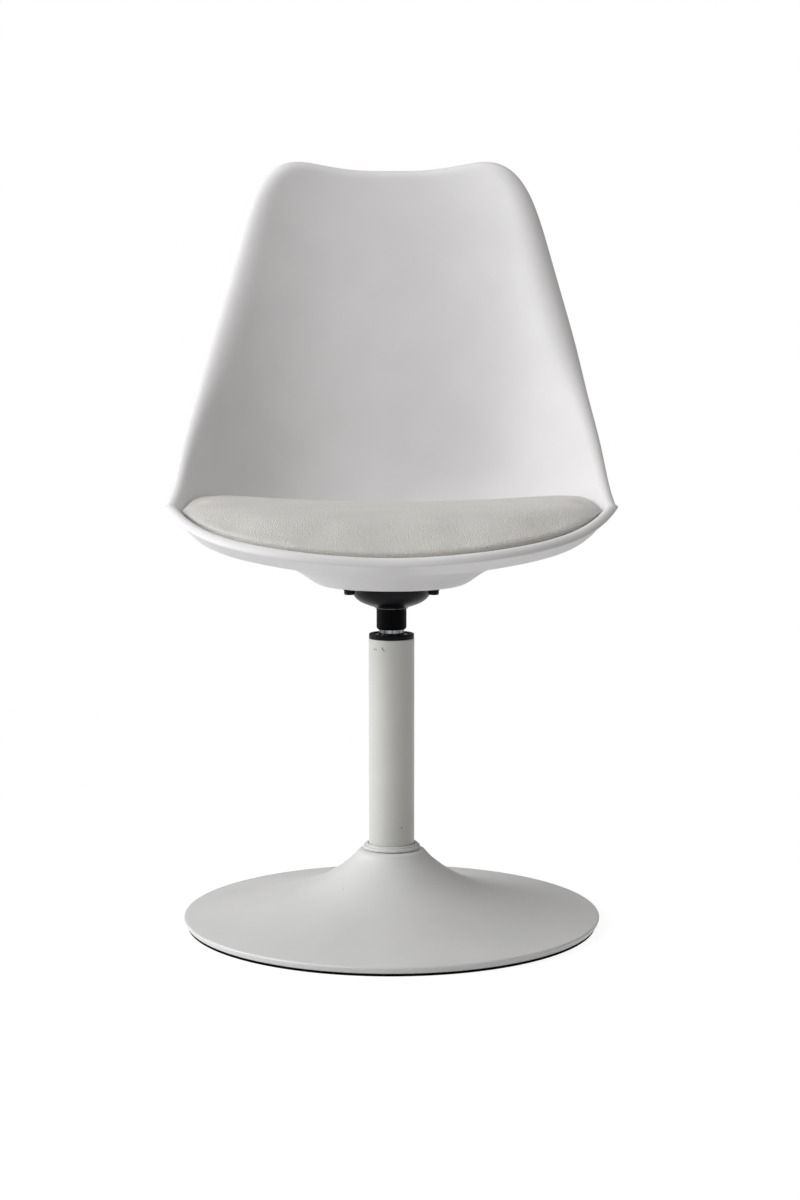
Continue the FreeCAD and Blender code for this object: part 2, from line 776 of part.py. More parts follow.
def shell_body():
    """The bucket: inner face, rolled rim and outer face, with the plinth as its thick floor."""
    places = flat_outline(outline_shares)
    rim = [pan_point(a * reach, b * reach) for a, b, reach, rest in places]
    normals = [pan_normal(a * reach, b * reach) for a, b, reach, rest in places]
    columns = []
    for i, (a, b, reach, rest) in enumerate(places):
        chain = []
        for j in range(points_along):
            way = 1 - (1 - j / (points_along - 1)) ** rim_crowding
            r = shell_hub_radius + (reach - shell_hub_radius) * way
            chain.append((pan_point(a * r, b * r), pan_normal(a * r, b * r)))
        roll, tip = rim_roll(rim, normals, i, rest[0] * rim_roll_length, rest[1], rest[2])
        chain += roll
        outer = [outer_point(point, direction) for point, direction in chain]
        end = (chain[-1][0] + outer[-1]) * 0.5 + tip * rim_tip_round
        columns.append([point for point, direction in chain] + [end] + outer[::-1])
    return skin(columns)


def seat_shell():
    body = shell_body()
    body = body.cut(square(plate_width + 2 * plate_recess_gap, shell_bottom - overrun, plate_top,
                           plate_corner_round))
    for x, y in four_places(plate_hole_square):
        body = body.cut(cylinder(insert_radius + press_gap, shell_bottom - overrun,
                                 plate_top + insert_length + insert_end_gap, x, y))
    for x, y in four_places(screw_square):
        hole = screw_shape(x, y, screw_hole_gap)
        mouth_radius = screw_head_radius + screw_hole_gap
        mouth = cylinder(mouth_radius, plate_top - overrun, plate_top + screw_sink, x, y)
        body = body.cut(hole.fuse(mouth))
    return body


def cushion_top(place, way, inset, side_inset):
    """Point of the cushion's domed top at a share of the way out to its edge."""
    a, b, reach, rest = place
    edge = pan_point(a * reach, b * reach)
    edge_height = edge.z + cushion_edge_lift * rest[1] - inset
    r = cushion_hub_radius + (reach - side_inset - cushion_hub_radius) * way
    plan = pan_point(a * r, b * r)
    crown = cushion_crown + cushion_saddle * (plan.x / shell_half_width) ** 2 - inset
    swell = (1 - way ** rest[0]) ** cushion_round_share
    return Vec(plan.x, plan.y, edge_height + (crown - edge_height) * swell)


def over_pan(place, way, lift, inset):
    """Point over the pan at a share of the way out to the cushion's edge, lifted off its face."""
    a, b, reach, rest = place
    r = cushion_hub_radius + (reach - inset - cushion_hub_radius) * way
    return pan_point(a * r, b * r) + pan_normal(a * r, b * r) * lift


def dome(place, inset, side_inset):
    """Points of the top from the middle to the edge, closer together towards the edge."""
    steps = [j / (cushion_points - 1) for j in range(cushion_points)]
    return [cushion_top(place, 1 - (1 - step) ** 2, inset, side_inset) for step in steps]


def drawn_side(place, lift, inset):
    """Points where the side draws in and turns under."""
    rise = cushion_edge_lift * place[3][1] - lift - inset
    return [over_pan(place, way, lift + rise * share, inset) for way, share in turn_shares]


def run_over_pan(place, lift, inset, first_way, last_way, count):
    ways = [first_way + (last_way - first_way) * j / (count - 1) for j in range(count)]
    return [over_pan(place, way, lift, inset) for way in ways]


def cushion_cover():
    """Leather skin: over the pad, round its edge and tucked under the board."""
    low, high = soft_gap, soft_gap + leather_thickness
    first_way = turn_shares[-1][0] - (turn_shares[-1][0] - tuck_share) / tuck_points
    columns = []
    for place in flat_outline(cushion_shares):
        outside = dome(place, 0, 0) + drawn_side(place, low, 0)
        outside += run_over_pan(place, low, 0, first_way, tuck_share, tuck_points)
        inside = dome(place, leather_thickness, leather_thickness)
        inside += drawn_side(place, high, leather_thickness)
        inside += run_over_pan(place, high, 0, first_way, tuck_share, tuck_points)
        columns.append(outside + inside[::-1])
    return skin(columns)


def cushion_board():
    """Moulded board that lies in the pan, with a rebate at its edge for the tucked leather."""
    raised = soft_gap + leather_thickness + leather_gap
    top = soft_gap + board_thickness
    rebate_end = tuck_share - leather_gap / shell_depth
    columns = []
    for place in flat_outline(cushion_shares):
        upper = run_over_pan(place, top, 0, 0, board_share, cushion_points)
        rebate = run_over_pan(place, raised, 0, board_share, rebate_end, tuck_points)
        lower = run_over_pan(place, soft_gap, 0, rebate_share, 0, cushion_points)
        columns.append(upper + rebate + lower)
    body = skin(columns)
    hole_top = pan_floor + soft_gap + screw_bite
    for x, y in four_places(screw_square):
        body = body.cut(cylinder(screw_radius + press_gap, pan_floor, hole_top, x, y))
    return body


def cushion_foam():
    """Foam pad between the board and the leather."""
    inset = leather_thickness + leather_gap
    lift = soft_gap + board_thickness + leather_gap
    columns = []
    for place in flat_outline(cushion_shares):
        edge = over_pan(place, turn_shares[-1][0], lift, inset)
        lower = run_over_pan(place, lift, 0, board_share, 0, cushion_points)
        columns.append(dome(place, inset, inset + foam_side_gap) + [edge] + lower)
    return skin(columns)


pieces = {
    "floor_ring": floor_ring,
    "base_weight": base_weight,
    "base_cover": base_cover,
    "base_hub": base_hub,
    "hub_bolt": hub_bolt,
    "hub_washer": hub_washer,
    "lock_washer": lock_washer,
    "column_tube": column_tube,
    "column_foot": column_foot,
    "base_collar": base_collar,
    "lower_race": lower_race,
    "lower_bush": lower_bush,
    "cap_ring": cap_ring,
    "cap_washer": cap_washer,
    "bearing_cage": bearing_cage,
    "bearing_balls": bearing_balls,
    "upper_race": upper_race,
    "spindle": spindle,
    "retaining_ring": retaining_ring,
    "taper_socket": taper_socket,
    "socket_washer": socket_washer,
    "plate_dish": plate_dish,
    "seat_plate": seat_plate,
    "plate_washers": plate_washers,
    "plate_bolts": plate_bolts,
    "shell_inserts": shell_inserts,
    "seat_shell": seat_shell,
    "cushion_screws": cushion_screws,
    "cushion_board": cushion_board,
    "cushion_foam": cushion_foam,
    "cushion_cover": cushion_cover,
}

for name, make in pieces.items():
    save(name, make())
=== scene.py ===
# %% [markdown]
# A swivel dining chair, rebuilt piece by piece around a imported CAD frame.
# The frame gives every part its place, so this lesson only adds looks: finer surfaces where
# the eye meets them, and a material for each substance. Lengths are written in millimetres, as on
# a drawing, and `mm` turns them into Blender's metres.

# %% Load the frame
import json
import math
import bpy
import numpy as np
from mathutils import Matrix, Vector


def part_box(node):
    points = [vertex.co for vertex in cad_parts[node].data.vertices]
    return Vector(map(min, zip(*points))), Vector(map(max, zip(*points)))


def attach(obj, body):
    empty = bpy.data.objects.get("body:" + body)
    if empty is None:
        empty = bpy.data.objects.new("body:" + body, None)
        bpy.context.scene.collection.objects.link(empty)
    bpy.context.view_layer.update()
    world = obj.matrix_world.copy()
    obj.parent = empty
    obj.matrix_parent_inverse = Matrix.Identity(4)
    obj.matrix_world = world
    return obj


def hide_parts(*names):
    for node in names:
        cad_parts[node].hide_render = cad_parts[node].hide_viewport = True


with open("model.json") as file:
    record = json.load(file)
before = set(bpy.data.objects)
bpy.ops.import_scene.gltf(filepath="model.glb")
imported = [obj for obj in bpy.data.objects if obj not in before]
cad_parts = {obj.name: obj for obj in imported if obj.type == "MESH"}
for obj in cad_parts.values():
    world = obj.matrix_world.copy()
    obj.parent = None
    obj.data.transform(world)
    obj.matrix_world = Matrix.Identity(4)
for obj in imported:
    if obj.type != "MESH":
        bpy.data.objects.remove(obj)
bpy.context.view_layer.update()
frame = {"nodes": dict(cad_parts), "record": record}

mm = 0.001


# %% [markdown]
# Every new piece is a grid of points worked out by a formula. One helper turns such a grid into a
# mesh. Columns always run round and close on themselves. Rows either start and end in a pole, where
# the ring shrinks to a point, or close on themselves too, as on a tube with a wall.

# %% Grid of points to mesh
def enclosed(co, quads):
    """Volume inside the faces: a sixth of the triple product, summed over the triangles."""
    a, b, c, d = (co[quads[:, k]] for k in range(4))
    return float((a * np.cross(b, c)).sum() + (a * np.cross(c, d)).sum()) / 6


def skin(points, ring_of_rows=False):
    """Closed surface over points[row, column]. Each quad joins a point to its next neighbours.
    A first and last row at one place become poles with a fan of triangles. The faces are
    turned round where the enclosed volume comes out negative."""
    rows, columns = points.shape[:2]
    index = np.arange(rows * columns).reshape(rows, columns)
    if not ring_of_rows:
        index[0] = index[0, 0]
        index[-1] = index[-1, 0]
    here = index if ring_of_rows else index[:-1]
    there = np.roll(index, -1, axis=0) if ring_of_rows else index[1:]
    quads = np.stack([here, np.roll(here, -1, 1), np.roll(there, -1, 1), there], axis=-1)
    co = points.reshape(-1, 3)
    if enclosed(co, quads.reshape(-1, 4)) < 0:
        quads = quads[..., ::-1]
    if ring_of_rows:
        fans = np.zeros((0, 3), int)
    else:
        first, last = quads[0], quads[-1]
        fans = np.concatenate([drop_repeat(first), drop_repeat(last)])
        quads = quads[1:-1]
    quads = quads.reshape(-1, 4)
    loops = np.concatenate([quads.ravel(), fans.ravel()])
    used, loops = np.unique(loops, return_inverse=True)
    starts = np.concatenate([np.arange(len(quads)) * 4, len(quads) * 4 + np.arange(len(fans)) * 3])
    return mesh_of(co[used], loops.ravel(), starts)


def mesh_of(co, corners, starts):
    """Smooth mesh from points, the point at each face corner, and each face's first corner."""
    mesh = bpy.data.meshes.new("mesh")
    mesh.vertices.add(len(co))
    mesh.vertices.foreach_set("co", co.ravel())
    mesh.loops.add(len(corners))
    mesh.loops.foreach_set("vertex_index", corners)
    mesh.polygons.add(len(starts))
    mesh.polygons.foreach_set("loop_start", starts)
    mesh.polygons.foreach_set("use_smooth", np.ones(len(starts), bool))
    mesh.update(calc_edges=True)
    mesh.validate()
    return mesh


def read(items, key, width=1, kind=float):
    """One property of all a mesh's vertices, loops or faces."""
    values = np.zeros(len(items) * width, kind)
    items.foreach_get(key, values)
    return values


def drop_repeat(quads):
    """Quads with two corners at a pole, as triangles: the second of the equal corners goes."""
    same = quads == np.roll(quads, 1, axis=1)
    return quads[~same].reshape(-1, 3)


def placed(name, data):
    """A new object in the scene, from a mesh, a lamp or a camera."""
    obj = bpy.data.objects.new(name, data)
    bpy.context.scene.collection.objects.link(obj)
    return obj


def piece(name, mesh, body, slot, *nodes, material=None):
    """Puts a mesh in the scene as a piece that rides on a body and stands for CAD nodes. It has
    its slot's material unless it is given another."""
    obj = placed(name, mesh)
    mesh.name = name
    mesh.materials.append(material or materials[slot])
    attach(obj, body)
    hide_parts(*nodes)
    print("%-16s %6d faces" % (name, len(mesh.polygons)))
    return obj


# %% [markdown]
# Colours are written as sRGB hex, the way a paint chart gives them, and one function turns them to
# the linear values that the renderer works in. The others add nodes, so that a material reads as a
# few lines: a noise, the range it is spread to, and the sockets it goes to.

# %% Colour and node helpers
def linear(hex_colour):
    """sRGB hex to linear: c / 12.92 in the darks, ((c + 0.055) / 1.055) ^ 2.4 above."""
    c = np.array([int(hex_colour[i:i + 2], 16) for i in (1, 3, 5)]) / 255
    c = np.where(c <= 0.04045, c / 12.92, ((c + 0.055) / 1.055) ** 2.4)
    return (*c.tolist(), 1.0)


def fill(tree, node, inputs):
    """Links each input where a socket is given for it, and sets it otherwise."""
    for key, value in inputs.items():
        if isinstance(value, bpy.types.NodeSocket):
            tree.links.new(value, node.inputs[key])
        else:
            node.inputs[key].default_value = value


def add(tree, kind, inputs=None, **settings):
    """Adds a node, sets its properties and fills its inputs."""
    made = tree.nodes.new("ShaderNode" + kind)
    for key, value in settings.items():
        setattr(made, key, value)
    fill(tree, made, inputs or {})
    return made


def join(tree, **sockets):
    """Fills the Principled shader's sockets, named with _ for each space."""
    shader = tree.nodes["Principled BSDF"]
    fill(tree, shader, {key.replace("_", " "): value for key, value in sockets.items()})


def principled(name, **sockets):
    """A material with one Principled shader. What is the same all over is set on its sockets.
    Also gives the object coordinates, so a pattern keeps its real size on every piece."""
    material = bpy.data.materials.new(name)
    material.use_nodes = True
    tree = material.node_tree
    join(tree, **sockets)
    return material, tree, add(tree, "TexCoord").outputs["Object"]


def grain(tree, place, size, detail=2.0, rough=0.5, stretch=(1, 1, 1)):
    """Noise whose lumps are about one size across, in metres, drawn out along an axis."""
    scaled = add(tree, "VectorMath", {0: place, 1: tuple(1 / s for s in stretch)},
                 operation="MULTIPLY")
    noise = add(tree, "TexNoise", {"Vector": scaled.outputs[0], "Scale": 1 / size, "Detail": detail,
                                   "Roughness": rough})
    return noise.outputs["Fac"]


def spread(tree, value, low, high, to_low=0.0, to_high=1.0):
    """Maps low..high of a value to another range, held at its ends."""
    return add(tree, "MapRange", {"Value": value, "From Min": low, "From Max": high,
                                  "To Min": to_low, "To Max": to_high}).outputs["Result"]


def swing(tree, noise, low=0.0, high=1.0):
    """Maps the middle of a noise's range, where nearly all its values lie, to low..high."""
    return spread(tree, noise, 0.3, 0.7, low, high)


def mixed(tree, share, base, over):
    """Colour between two by a share. The first is a hex colour or a socket, the second a hex."""
    first = base if isinstance(base, bpy.types.NodeSocket) else linear(base)
    inputs = {"Factor": share, 6: first, 7: linear(over)}
    return add(tree, "Mix", inputs, data_type="RGBA").outputs[2]


def relief(tree, height, distance, normal=None):
    """Bump of a height whose full swing is a distance in metres."""
    inputs = {"Height": height, "Distance": distance, "Strength": 1.0}
    if normal is not None:
        inputs["Normal"] = normal
    return add(tree, "Bump", inputs).outputs["Normal"]


# %% [markdown]
# The shell is injection-moulded polypropylene. The tool's cavity is spark-eroded, which leaves a
# satin skin: a fine even grain of about half a millimetre, and very shallow waves a few centimetres
# wide where the plastic shrank as it cooled. Modelled, that grain would take millions of faces, so
# it is bump from noise, drawn a little coarser than life. The tone wanders by two or three steps.

# %% Shell plastic
def make_polypropylene():
    material, tree, place = principled("moulded_polypropylene", IOR=1.49, Roughness=0.52)
    waves = grain(tree, place, 60 * mm, 1.0)
    spark = grain(tree, place, 0.9 * mm, 3.0, 0.6)
    colour = mixed(tree, swing(tree, waves), "#e4e3e5", "#e8e7e9")
    normal = relief(tree, waves, 0.25 * mm)
    normal = relief(tree, spark, 0.012 * mm, normal)
    rough = swing(tree, grain(tree, place, 14 * mm, 3.0), 0.48, 0.56)
    join(tree, Base_Color=colour, Normal=normal, Roughness=rough)
    return material


# %% [markdown]
# The cushion is covered in coated leathercloth. Its polyurethane skin is embossed with a pebble
# grain: small rounded islands, about a millimetre and a half across, with creases between them.
# Voronoi cells give the islands, and their distance to the nearest edge gives the creases, which
# are also painted darker as shade. They are drawn at 2.6 mm, which is as coarse as they need to be
# to show in a picture of the whole chair.

# %% Cushion leathercloth
def make_leathercloth():
    material, tree, place = principled("embossed_leathercloth", IOR=1.46, Roughness=0.55)
    shift = add(tree, "TexNoise", {"Vector": place, "Scale": 1 / (4 * mm), "Detail": 2.0})
    wander = add(tree, "VectorMath", {0: shift.outputs["Color"], 1: (0.9 * mm,) * 3},
                 operation="MULTIPLY")
    moved = add(tree, "VectorMath", {0: place, 1: wander.outputs[0]}, operation="ADD").outputs[0]
    cells = add(tree, "TexVoronoi", {"Vector": moved, "Scale": 1 / (2.6 * mm)},
                feature="DISTANCE_TO_EDGE")
    pebble = spread(tree, cells.outputs["Distance"], 0.0, 0.28)
    pores = grain(tree, place, 0.5 * mm, 2.0)
    tone = swing(tree, grain(tree, place, 45 * mm, 3.0))
    colour = mixed(tree, tone, "#dedcd9", "#e3e1de")
    # The creases are darkened towards grey: painted shade between the pebbles
    crease_shade = spread(tree, cells.outputs["Distance"], 0.0, 0.12, 0.22, 0.0)
    colour = mixed(tree, crease_shade, colour, "#9b9994")
    normal = relief(tree, pebble, 0.6 * mm)
    normal = relief(tree, pores, 0.02 * mm, normal)
    rough = spread(tree, pebble, 0.0, 1.0, 0.66, 0.50)
    join(tree, Base_Color=colour, Normal=normal, Roughness=rough)
    return material


# %% [markdown]
# Column and base are steel under a pale grey powder coat. The powder melts in the oven and levels
# into a faint orange peel a couple of millimetres across, with a speck of dust baked in here and
# there. In use it chips below the column's mouth and picks up a dark scuff on the base. Each mark
# is an ellipse with a ragged edge in object coordinates, so it stays put on the metal.

# %% Powder coat with wear
def mark(tree, place, centre, size, turn):
    """Share that is 1 inside a ragged ellipse about a centre, lengths in mm, and 0 outside."""
    moved = add(tree, "Mapping", {"Vector": place, "Location": [c * mm for c in centre],
                                  "Rotation": (0, turn, 0), "Scale": [s * mm for s in size]},
                vector_type="TEXTURE").outputs[0]
    reach = add(tree, "VectorMath", {0: moved}, operation="LENGTH").outputs["Value"]
    ragged = grain(tree, moved, 0.6, 3.0)
    reach = add(tree, "Math", {0: reach, 1: ragged}, operation="ADD").outputs[0]
    return spread(tree, reach, 1.35, 1.2)


def most(tree, shares):
    """The largest of several shares."""
    total = shares[0]
    for share in shares[1:]:
        total = add(tree, "Math", {0: total, 1: share}, operation="MAXIMUM").outputs[0]
    return total


def make_powder_coat(name, dark, light, marks):
    """Paint between two tones, with dust, and bare dark metal sunk in at each mark."""
    material, tree, place = principled(name, IOR=1.5, Roughness=0.38)
    peel = grain(tree, place, 2.2 * mm, 2.0)
    drift = grain(tree, place, 70 * mm, 2.0)
    colour = mixed(tree, swing(tree, drift), dark, light)
    dust = spread(tree, grain(tree, place, 0.8 * mm, 1.0), 0.76, 0.80, 0.0, 0.25)
    colour = mixed(tree, dust, colour, "#8f8e89")
    chipped = most(tree, [mark(tree, place, *spot) for spot in marks])
    colour = mixed(tree, chipped, colour, "#5f5d58")
    kept = add(tree, "Math", {0: 1.0, 1: chipped}, operation="SUBTRACT").outputs[0]
    normal = relief(tree, kept, 0.12 * mm, relief(tree, peel, 0.020 * mm))
    rough = swing(tree, grain(tree, place, 20 * mm, 3.0), 0.34, 0.42)
    join(tree, Base_Color=colour, Normal=normal, Roughness=rough)
    return material


# %% [markdown]
# The seat's metal carrier is pressed and welded steel with a satin black electro-coat, the cap on
# the column is black nylon, and the collar and the ring underfoot are plain moulded pieces. What
# sets them apart is how glossy they are and how coarse their skin is, so one function makes them
# all from a gloss, a lump size and a depth.

# %% Black finishes and plain mouldings
def make_satin(name, dark, light, gloss, size, depth, sheen=0.2):
    """Slow change of tone, gloss around one roughness, and relief of one lump size. Matted coats,
    plastics and rubber scatter most of their sheen, so only a part of it is kept."""
    material, tree, place = principled(name, IOR=1.5, Roughness=gloss, Specular_IOR_Level=sheen)
    tone = swing(tree, grain(tree, place, 9 * mm, 3.0))
    join(tree, Base_Color=mixed(tree, tone, dark, light),
         Normal=relief(tree, grain(tree, place, size, 3.0), depth),
         Roughness=swing(tree, grain(tree, place, 6 * mm, 3.0), gloss - 0.05, gloss + 0.06))
    return material


# %% [markdown]
# Bare metals show how they were made. The spindle is drawn bar, ground and chromed, with lines
# along its length that run from near black to bright: partly grinding marks, and partly painted
# reflection, the dark and bright stripes that a chromed bar mirrors. Washers are zinc-plated,
# slightly blue and mottled. The weight is cast iron with a sand-cast skin. All are one noise, used
# for tone, gloss and relief alike, because on metal the three come from the same marks. Drawn out
# along an axis, it becomes the lines of a tool.

# %% Bare metals
def make_metal(name, dark, light, gloss, lump, depth, stretch=(1, 1, 1)):
    """Metal between two tones, with a relief whose lumps can be drawn out along an axis."""
    material, tree, place = principled(name, Metallic=1.0, Roughness=gloss)
    lines = grain(tree, place, lump, 3.0, 0.6, stretch)
    tone = swing(tree, lines)
    join(tree, Base_Color=mixed(tree, tone, dark, light), Normal=relief(tree, lines, depth),
         Roughness=swing(tree, lines, gloss + 0.08, gloss - 0.05))
    return material


# %% [markdown]
# Some pieces are hidden once the chair is put together, such as the foam and the bearing. They
# still get what they are made of, since each part can be taken out and looked at by itself. Foam
# is open cells about a millimetre across, which Voronoi cells give directly.

# %% Foam
def make_foam():
    """Cells that are deeper in their middle than at their walls, and painted darker there as shade.
    """
    material, tree, place = principled("open_cell_foam", IOR=1.3, Roughness=0.95)
    cells = add(tree, "TexVoronoi", {"Vector": place, "Scale": 1 / (1.2 * mm)})
    share = spread(tree, cells.outputs["Distance"], 0.0, 0.8)
    # Darker cell middles are painted shade in the hollows
    join(tree, Base_Color=mixed(tree, share, "#cdbf86", "#efe6bd"),
         Normal=relief(tree, share, 0.3 * mm))
    return material


# %% [markdown]
# Now every substance gets its material, under the name of its slot in the record, and each CAD
# node takes the one of its slot. The marks are those of the real chair: chips below the column's
# mouth, a speck near its foot and a scuff on the base.

# %% Materials of the whole chair
# Centre and half sizes of each mark in mm, and its turn
chips = [((-18.3, -17.0, 305.2), (2.0, 3, 0.6), 0.7), ((-16.6, -18.7, 305.0), (0.6, 3, 1.2), 0.4),
         ((-9.6, -23.1, 306.4), (0.8, 3, 2.3), -0.5), ((-8.2, -23.6, 304.4), (1.1, 3, 0.8), 0.3)]
specks = [((11.0, -22.4, 109.3), (1.1, 3, 0.9), 0.0)]
scuffs = [((-52, -51, 49), (1.5, 5, 0.4), 0.4)]

tool_lines, grind_and_reflection_streaks = (1, 1, 0.2), (1, 1, 14)
materials = {
    "shell_plastic": make_polypropylene(),
    "cushion_leather": make_leathercloth(),
    "cushion_foam": make_foam(),
    "base_paint": make_powder_coat("powder_coat_base", "#dddede", "#e2e2e3", scuffs),
}
# Slot, name, dark and light tone, gloss, size and depth of the relief in mm, and sheen
for slot, name, dark, light, gloss, size, depth, *sheen in [
        ("board_plastic", "recycled_polypropylene", "#161617", "#1d1d1e", 0.6, 1.5, 0.05),
        ("black_steel", "electro_coated_steel", "#0a0a0f", "#0f0f16", 0.34, 1.2, 0.012, 0.16),
        ("natural_nylon", "natural_nylon", "#cfc8b2", "#ded8c4", 0.5, 1.0, 0.02),
        ("black_plastic", "black_nylon", "#060607", "#09090a", 0.42, 0.8, 0.015, 0.12),
        ("collar_plastic", "grey_polypropylene", "#d6d7d6", "#dbdcdb", 0.45, 1.2, 0.02),
        ("floor_rubber", "black_rubber", "#020202", "#050505", 0.8, 1.0, 0.03, 0.05)]:
    materials[slot] = make_satin(name, dark, light, gloss, size * mm, depth * mm, *sheen)
# The same for metals, with the stretch of the lumps at the end
for slot, name, dark, light, gloss, lump, depth, *stretch in [
        ("zinc_steel", "zinc_plated_steel", "#a9adb0", "#d0d2d2", 0.28, 1.5, 0.02),
        ("insert_brass", "turned_brass", "#b78a3c", "#d6ad5c", 0.25, 0.5, 0.02, tool_lines),
        # The spindle's streaks from near black to bright are partly grinding marks, partly painted
        # reflection
        ("spindle_chrome", "chromed_bar_grind_and_painted_reflection", "#1a1b1e", "#a4a6ab", 0.18, 2.4, 0.02,
         grind_and_reflection_streaks),
        ("bearing_steel", "hardened_ball_steel", "#b4b6ba", "#d6d8db", 0.12, 0.8, 0.004),
        ("bare_steel", "turned_mild_steel", "#7d7b78", "#a09e9a", 0.32, 0.5, 0.02, tool_lines),
        ("weight_iron", "sand_cast_iron", "#3a3937", "#57554f", 0.55, 2.5, 0.25)]:
    materials[slot] = make_metal(name, dark, light, gloss, lump * mm, depth * mm, *stretch)
# The sleeve gets a darker, more matt black than the dish: the darker tone is painted shade from the
# dish above it. Its washer is darkened all over as painted shade as well, with lighter patches at
# random
sleeve_painted_shade = make_satin("black_steel_painted_shade", "#020203", "#040405", 0.45, 0.8 * mm,
                          0.012 * mm, 0.05)
# The washer's dark zinc is painted shade under the dish
shim_painted_shade = make_metal("dark_zinc_painted_shade", "#060608", "#77797d", 0.3, 3.0 * mm, 0.05 * mm)
# The column's copy of the powder coat is darker than the base's: painted shade; its chips and speck
# are wear
column_coat_painted_shade = make_powder_coat("powder_coat_column_painted_shade", "#cbcbc9", "#cfcfcd", chips + specks)
for entry in frame["record"]["subparts"]:
    cad_mesh = frame["nodes"][entry["node"]].data
    cad_mesh.materials.clear()
    cad_mesh.materials.append(materials[entry["material_slot"]])
print("materials", len(bpy.data.materials))


# %% [markdown]
# The shell is one sheet that dips into a seat, rises in a back and rolls outwards at its rim. It is
# described like a boat's hull: stations from the front edge to the top, each with a centre point, a
# rail point at the side, and how sharply the side turns up. Sculpting it would take patience and
# never be quite even. A table of stations is smooth by its nature, and each number can be read off
# the photograph.

# %% Shell: stations and outline
shell_half_width = 240 * mm
shell_depth = 500 * mm
shell_rise = 460 * mm
shell_wall = 4.5 * mm
shell_bottom = 374 * mm
pan_floor = 387.5 * mm
floor_flat = 42 * mm
floor_blend = 95 * mm
plinth_flat = 71 * mm
plinth_foot = 109 * mm
rim_roll = 47.5 * mm
rim_tip = 2.0 * mm
axis_share = 0.48
station_pitch_share = 0.1

# Centre along and up, rail across, along and up, wall power, dish share
station_shares = np.array([
    (-0.480, 0.0893, 0.983, -0.480, 0.3730, 7.0, 0.36),
    (-0.380, 0.0604, 0.992, -0.380, 0.3424, 9.3, 0.40),
    (-0.280, 0.0367, 1.000, -0.272, 0.3011, 11.0, 0.43),
    (-0.180, 0.0183, 1.000, -0.168, 0.2507, 12.0, 0.44),
    (-0.080, 0.0057, 1.000, -0.068, 0.2047, 11.9, 0.44),
    (0.020, 0.0000, 1.000, 0.024, 0.1888, 10.7, 0.44),
    (0.120, 0.0043, 0.988, 0.100, 0.2113, 8.9, 0.41),
    (0.216, 0.0207, 0.967, 0.164, 0.2703, 7.0, 0.36),
    (0.300, 0.0620, 0.946, 0.220, 0.3598, 5.5, 0.28),
    (0.360, 0.1402, 0.921, 0.269, 0.4685, 4.5, 0.20),
    (0.396, 0.2446, 0.892, 0.312, 0.5750, 3.8, 0.14),
    (0.422, 0.3576, 0.858, 0.350, 0.6750, 3.3, 0.08),
    (0.446, 0.4750, 0.821, 0.385, 0.7707, 3.0, 0.04),
    (0.468, 0.5924, 0.775, 0.417, 0.8598, 2.8, 0.02),
    (0.488, 0.7054, 0.717, 0.446, 0.9359, 2.6, 0.00),
    (0.506, 0.8141, 0.646, 0.473, 1.0011, 2.5, 0.00),
    (0.524, 0.9185, 0.583, 0.498, 1.0707, 2.4, 0.00),
    (0.542, 1.0228, 0.542, 0.522, 1.1467, 2.4, 0.00)])

# Laid-flat outline from front to top: across, along, share of the longest roll, its turn in
# degrees, and how much it tightens towards its end
outline_shares = np.array([
    (0.000, -0.436, 0.285, 98, 1.0), (0.250, -0.434, 0.285, 98, 1.0),
    (0.492, -0.408, 0.283, 97, 1.0),
    (0.706, -0.348, 0.291, 100, 1.0), (0.864, -0.262, 0.296, 102, 1.0),
    (0.946, -0.164, 0.294, 104, 1.0), (0.962, -0.060, 0.280, 102, 1.0),
    (0.971, 0.050, 0.275, 100, 1.0), (0.952, 0.180, 0.300, 100, 1.1),
    (0.912, 0.310, 0.430, 101, 1.4), (0.833, 0.440, 0.680, 98, 1.9),
    (0.747, 0.570, 0.941, 98, 2.0), (0.682, 0.690, 1.000, 98, 2.0), (0.627, 0.810, 0.968, 98, 2.0),
    (0.594, 0.910, 0.855, 98, 2.0), (0.564, 0.996, 0.700, 97, 1.8), (0.505, 1.075, 0.547, 95, 1.5),
    (0.404, 1.125, 0.459, 95, 1.3), (0.233, 1.153, 0.459, 95, 1.3), (0.000, 1.164, 0.459, 95, 1.3)])


# %% [markdown]
# A cubic spline turns the rows of a table into a smooth run, open from front to top, or closed
# round an outline. With it, a place on the laid-flat shell gives its point of the bent one: along
# picks the station, and a power of the way across gives the rise to the rail.

# %% Smooth runs through a table
def basis(f):
    """Weights of four rows in a uniform cubic spline, at share f between the middle two."""
    g = 1 - f
    second = (3 * f ** 3 - 6 * f ** 2 + 4) / 6
    third = (3 * g ** 3 - 6 * g ** 2 + 4) / 6
    return g ** 3 / 6, second, third, f ** 3 / 6


def open_run(table, place):
    """Rows of a table at places along it. The end rows are mirrored, so the run reaches them."""
    last = len(table) - 1
    padded = np.concatenate([[2 * table[0] - table[1]], table, [2 * table[-1] - table[-2]]])
    place = np.clip(place, 0, last)
    i = np.minimum(place.astype(int), last - 1)
    weights = basis(place - i)
    return sum(w[..., None] * padded[i + k] for k, w in enumerate(weights))


def closed_run(table, count):
    """Rows at even shares of the way round a closed table."""
    place = np.arange(count) * len(table) / count
    i = place.astype(int)
    weights = basis(place - i)
    return sum(w[:, None] * table[(i + k - 1) % len(table)] for k, w in enumerate(weights))


def ease(share):
    """Smooth step from 0 to 1: 3 share^2 - 2 share^3."""
    share = np.clip(share, 0, 1)
    return share ** 2 * (3 - 2 * share)


def laid_flat(table, count):
    """A half outline mirrored to a whole one: directions across and along, reach, other columns."""
    mirror = table[-2:0:-1] * np.where(np.arange(table.shape[1]) == 0, -1, 1)
    rows = closed_run(np.concatenate([table, mirror]), count)
    x, along = rows[:, 0] * shell_half_width, rows[:, 1] * shell_depth
    reach = np.hypot(x, along)
    return x / reach, along / reach, reach, rows[:, 2:]


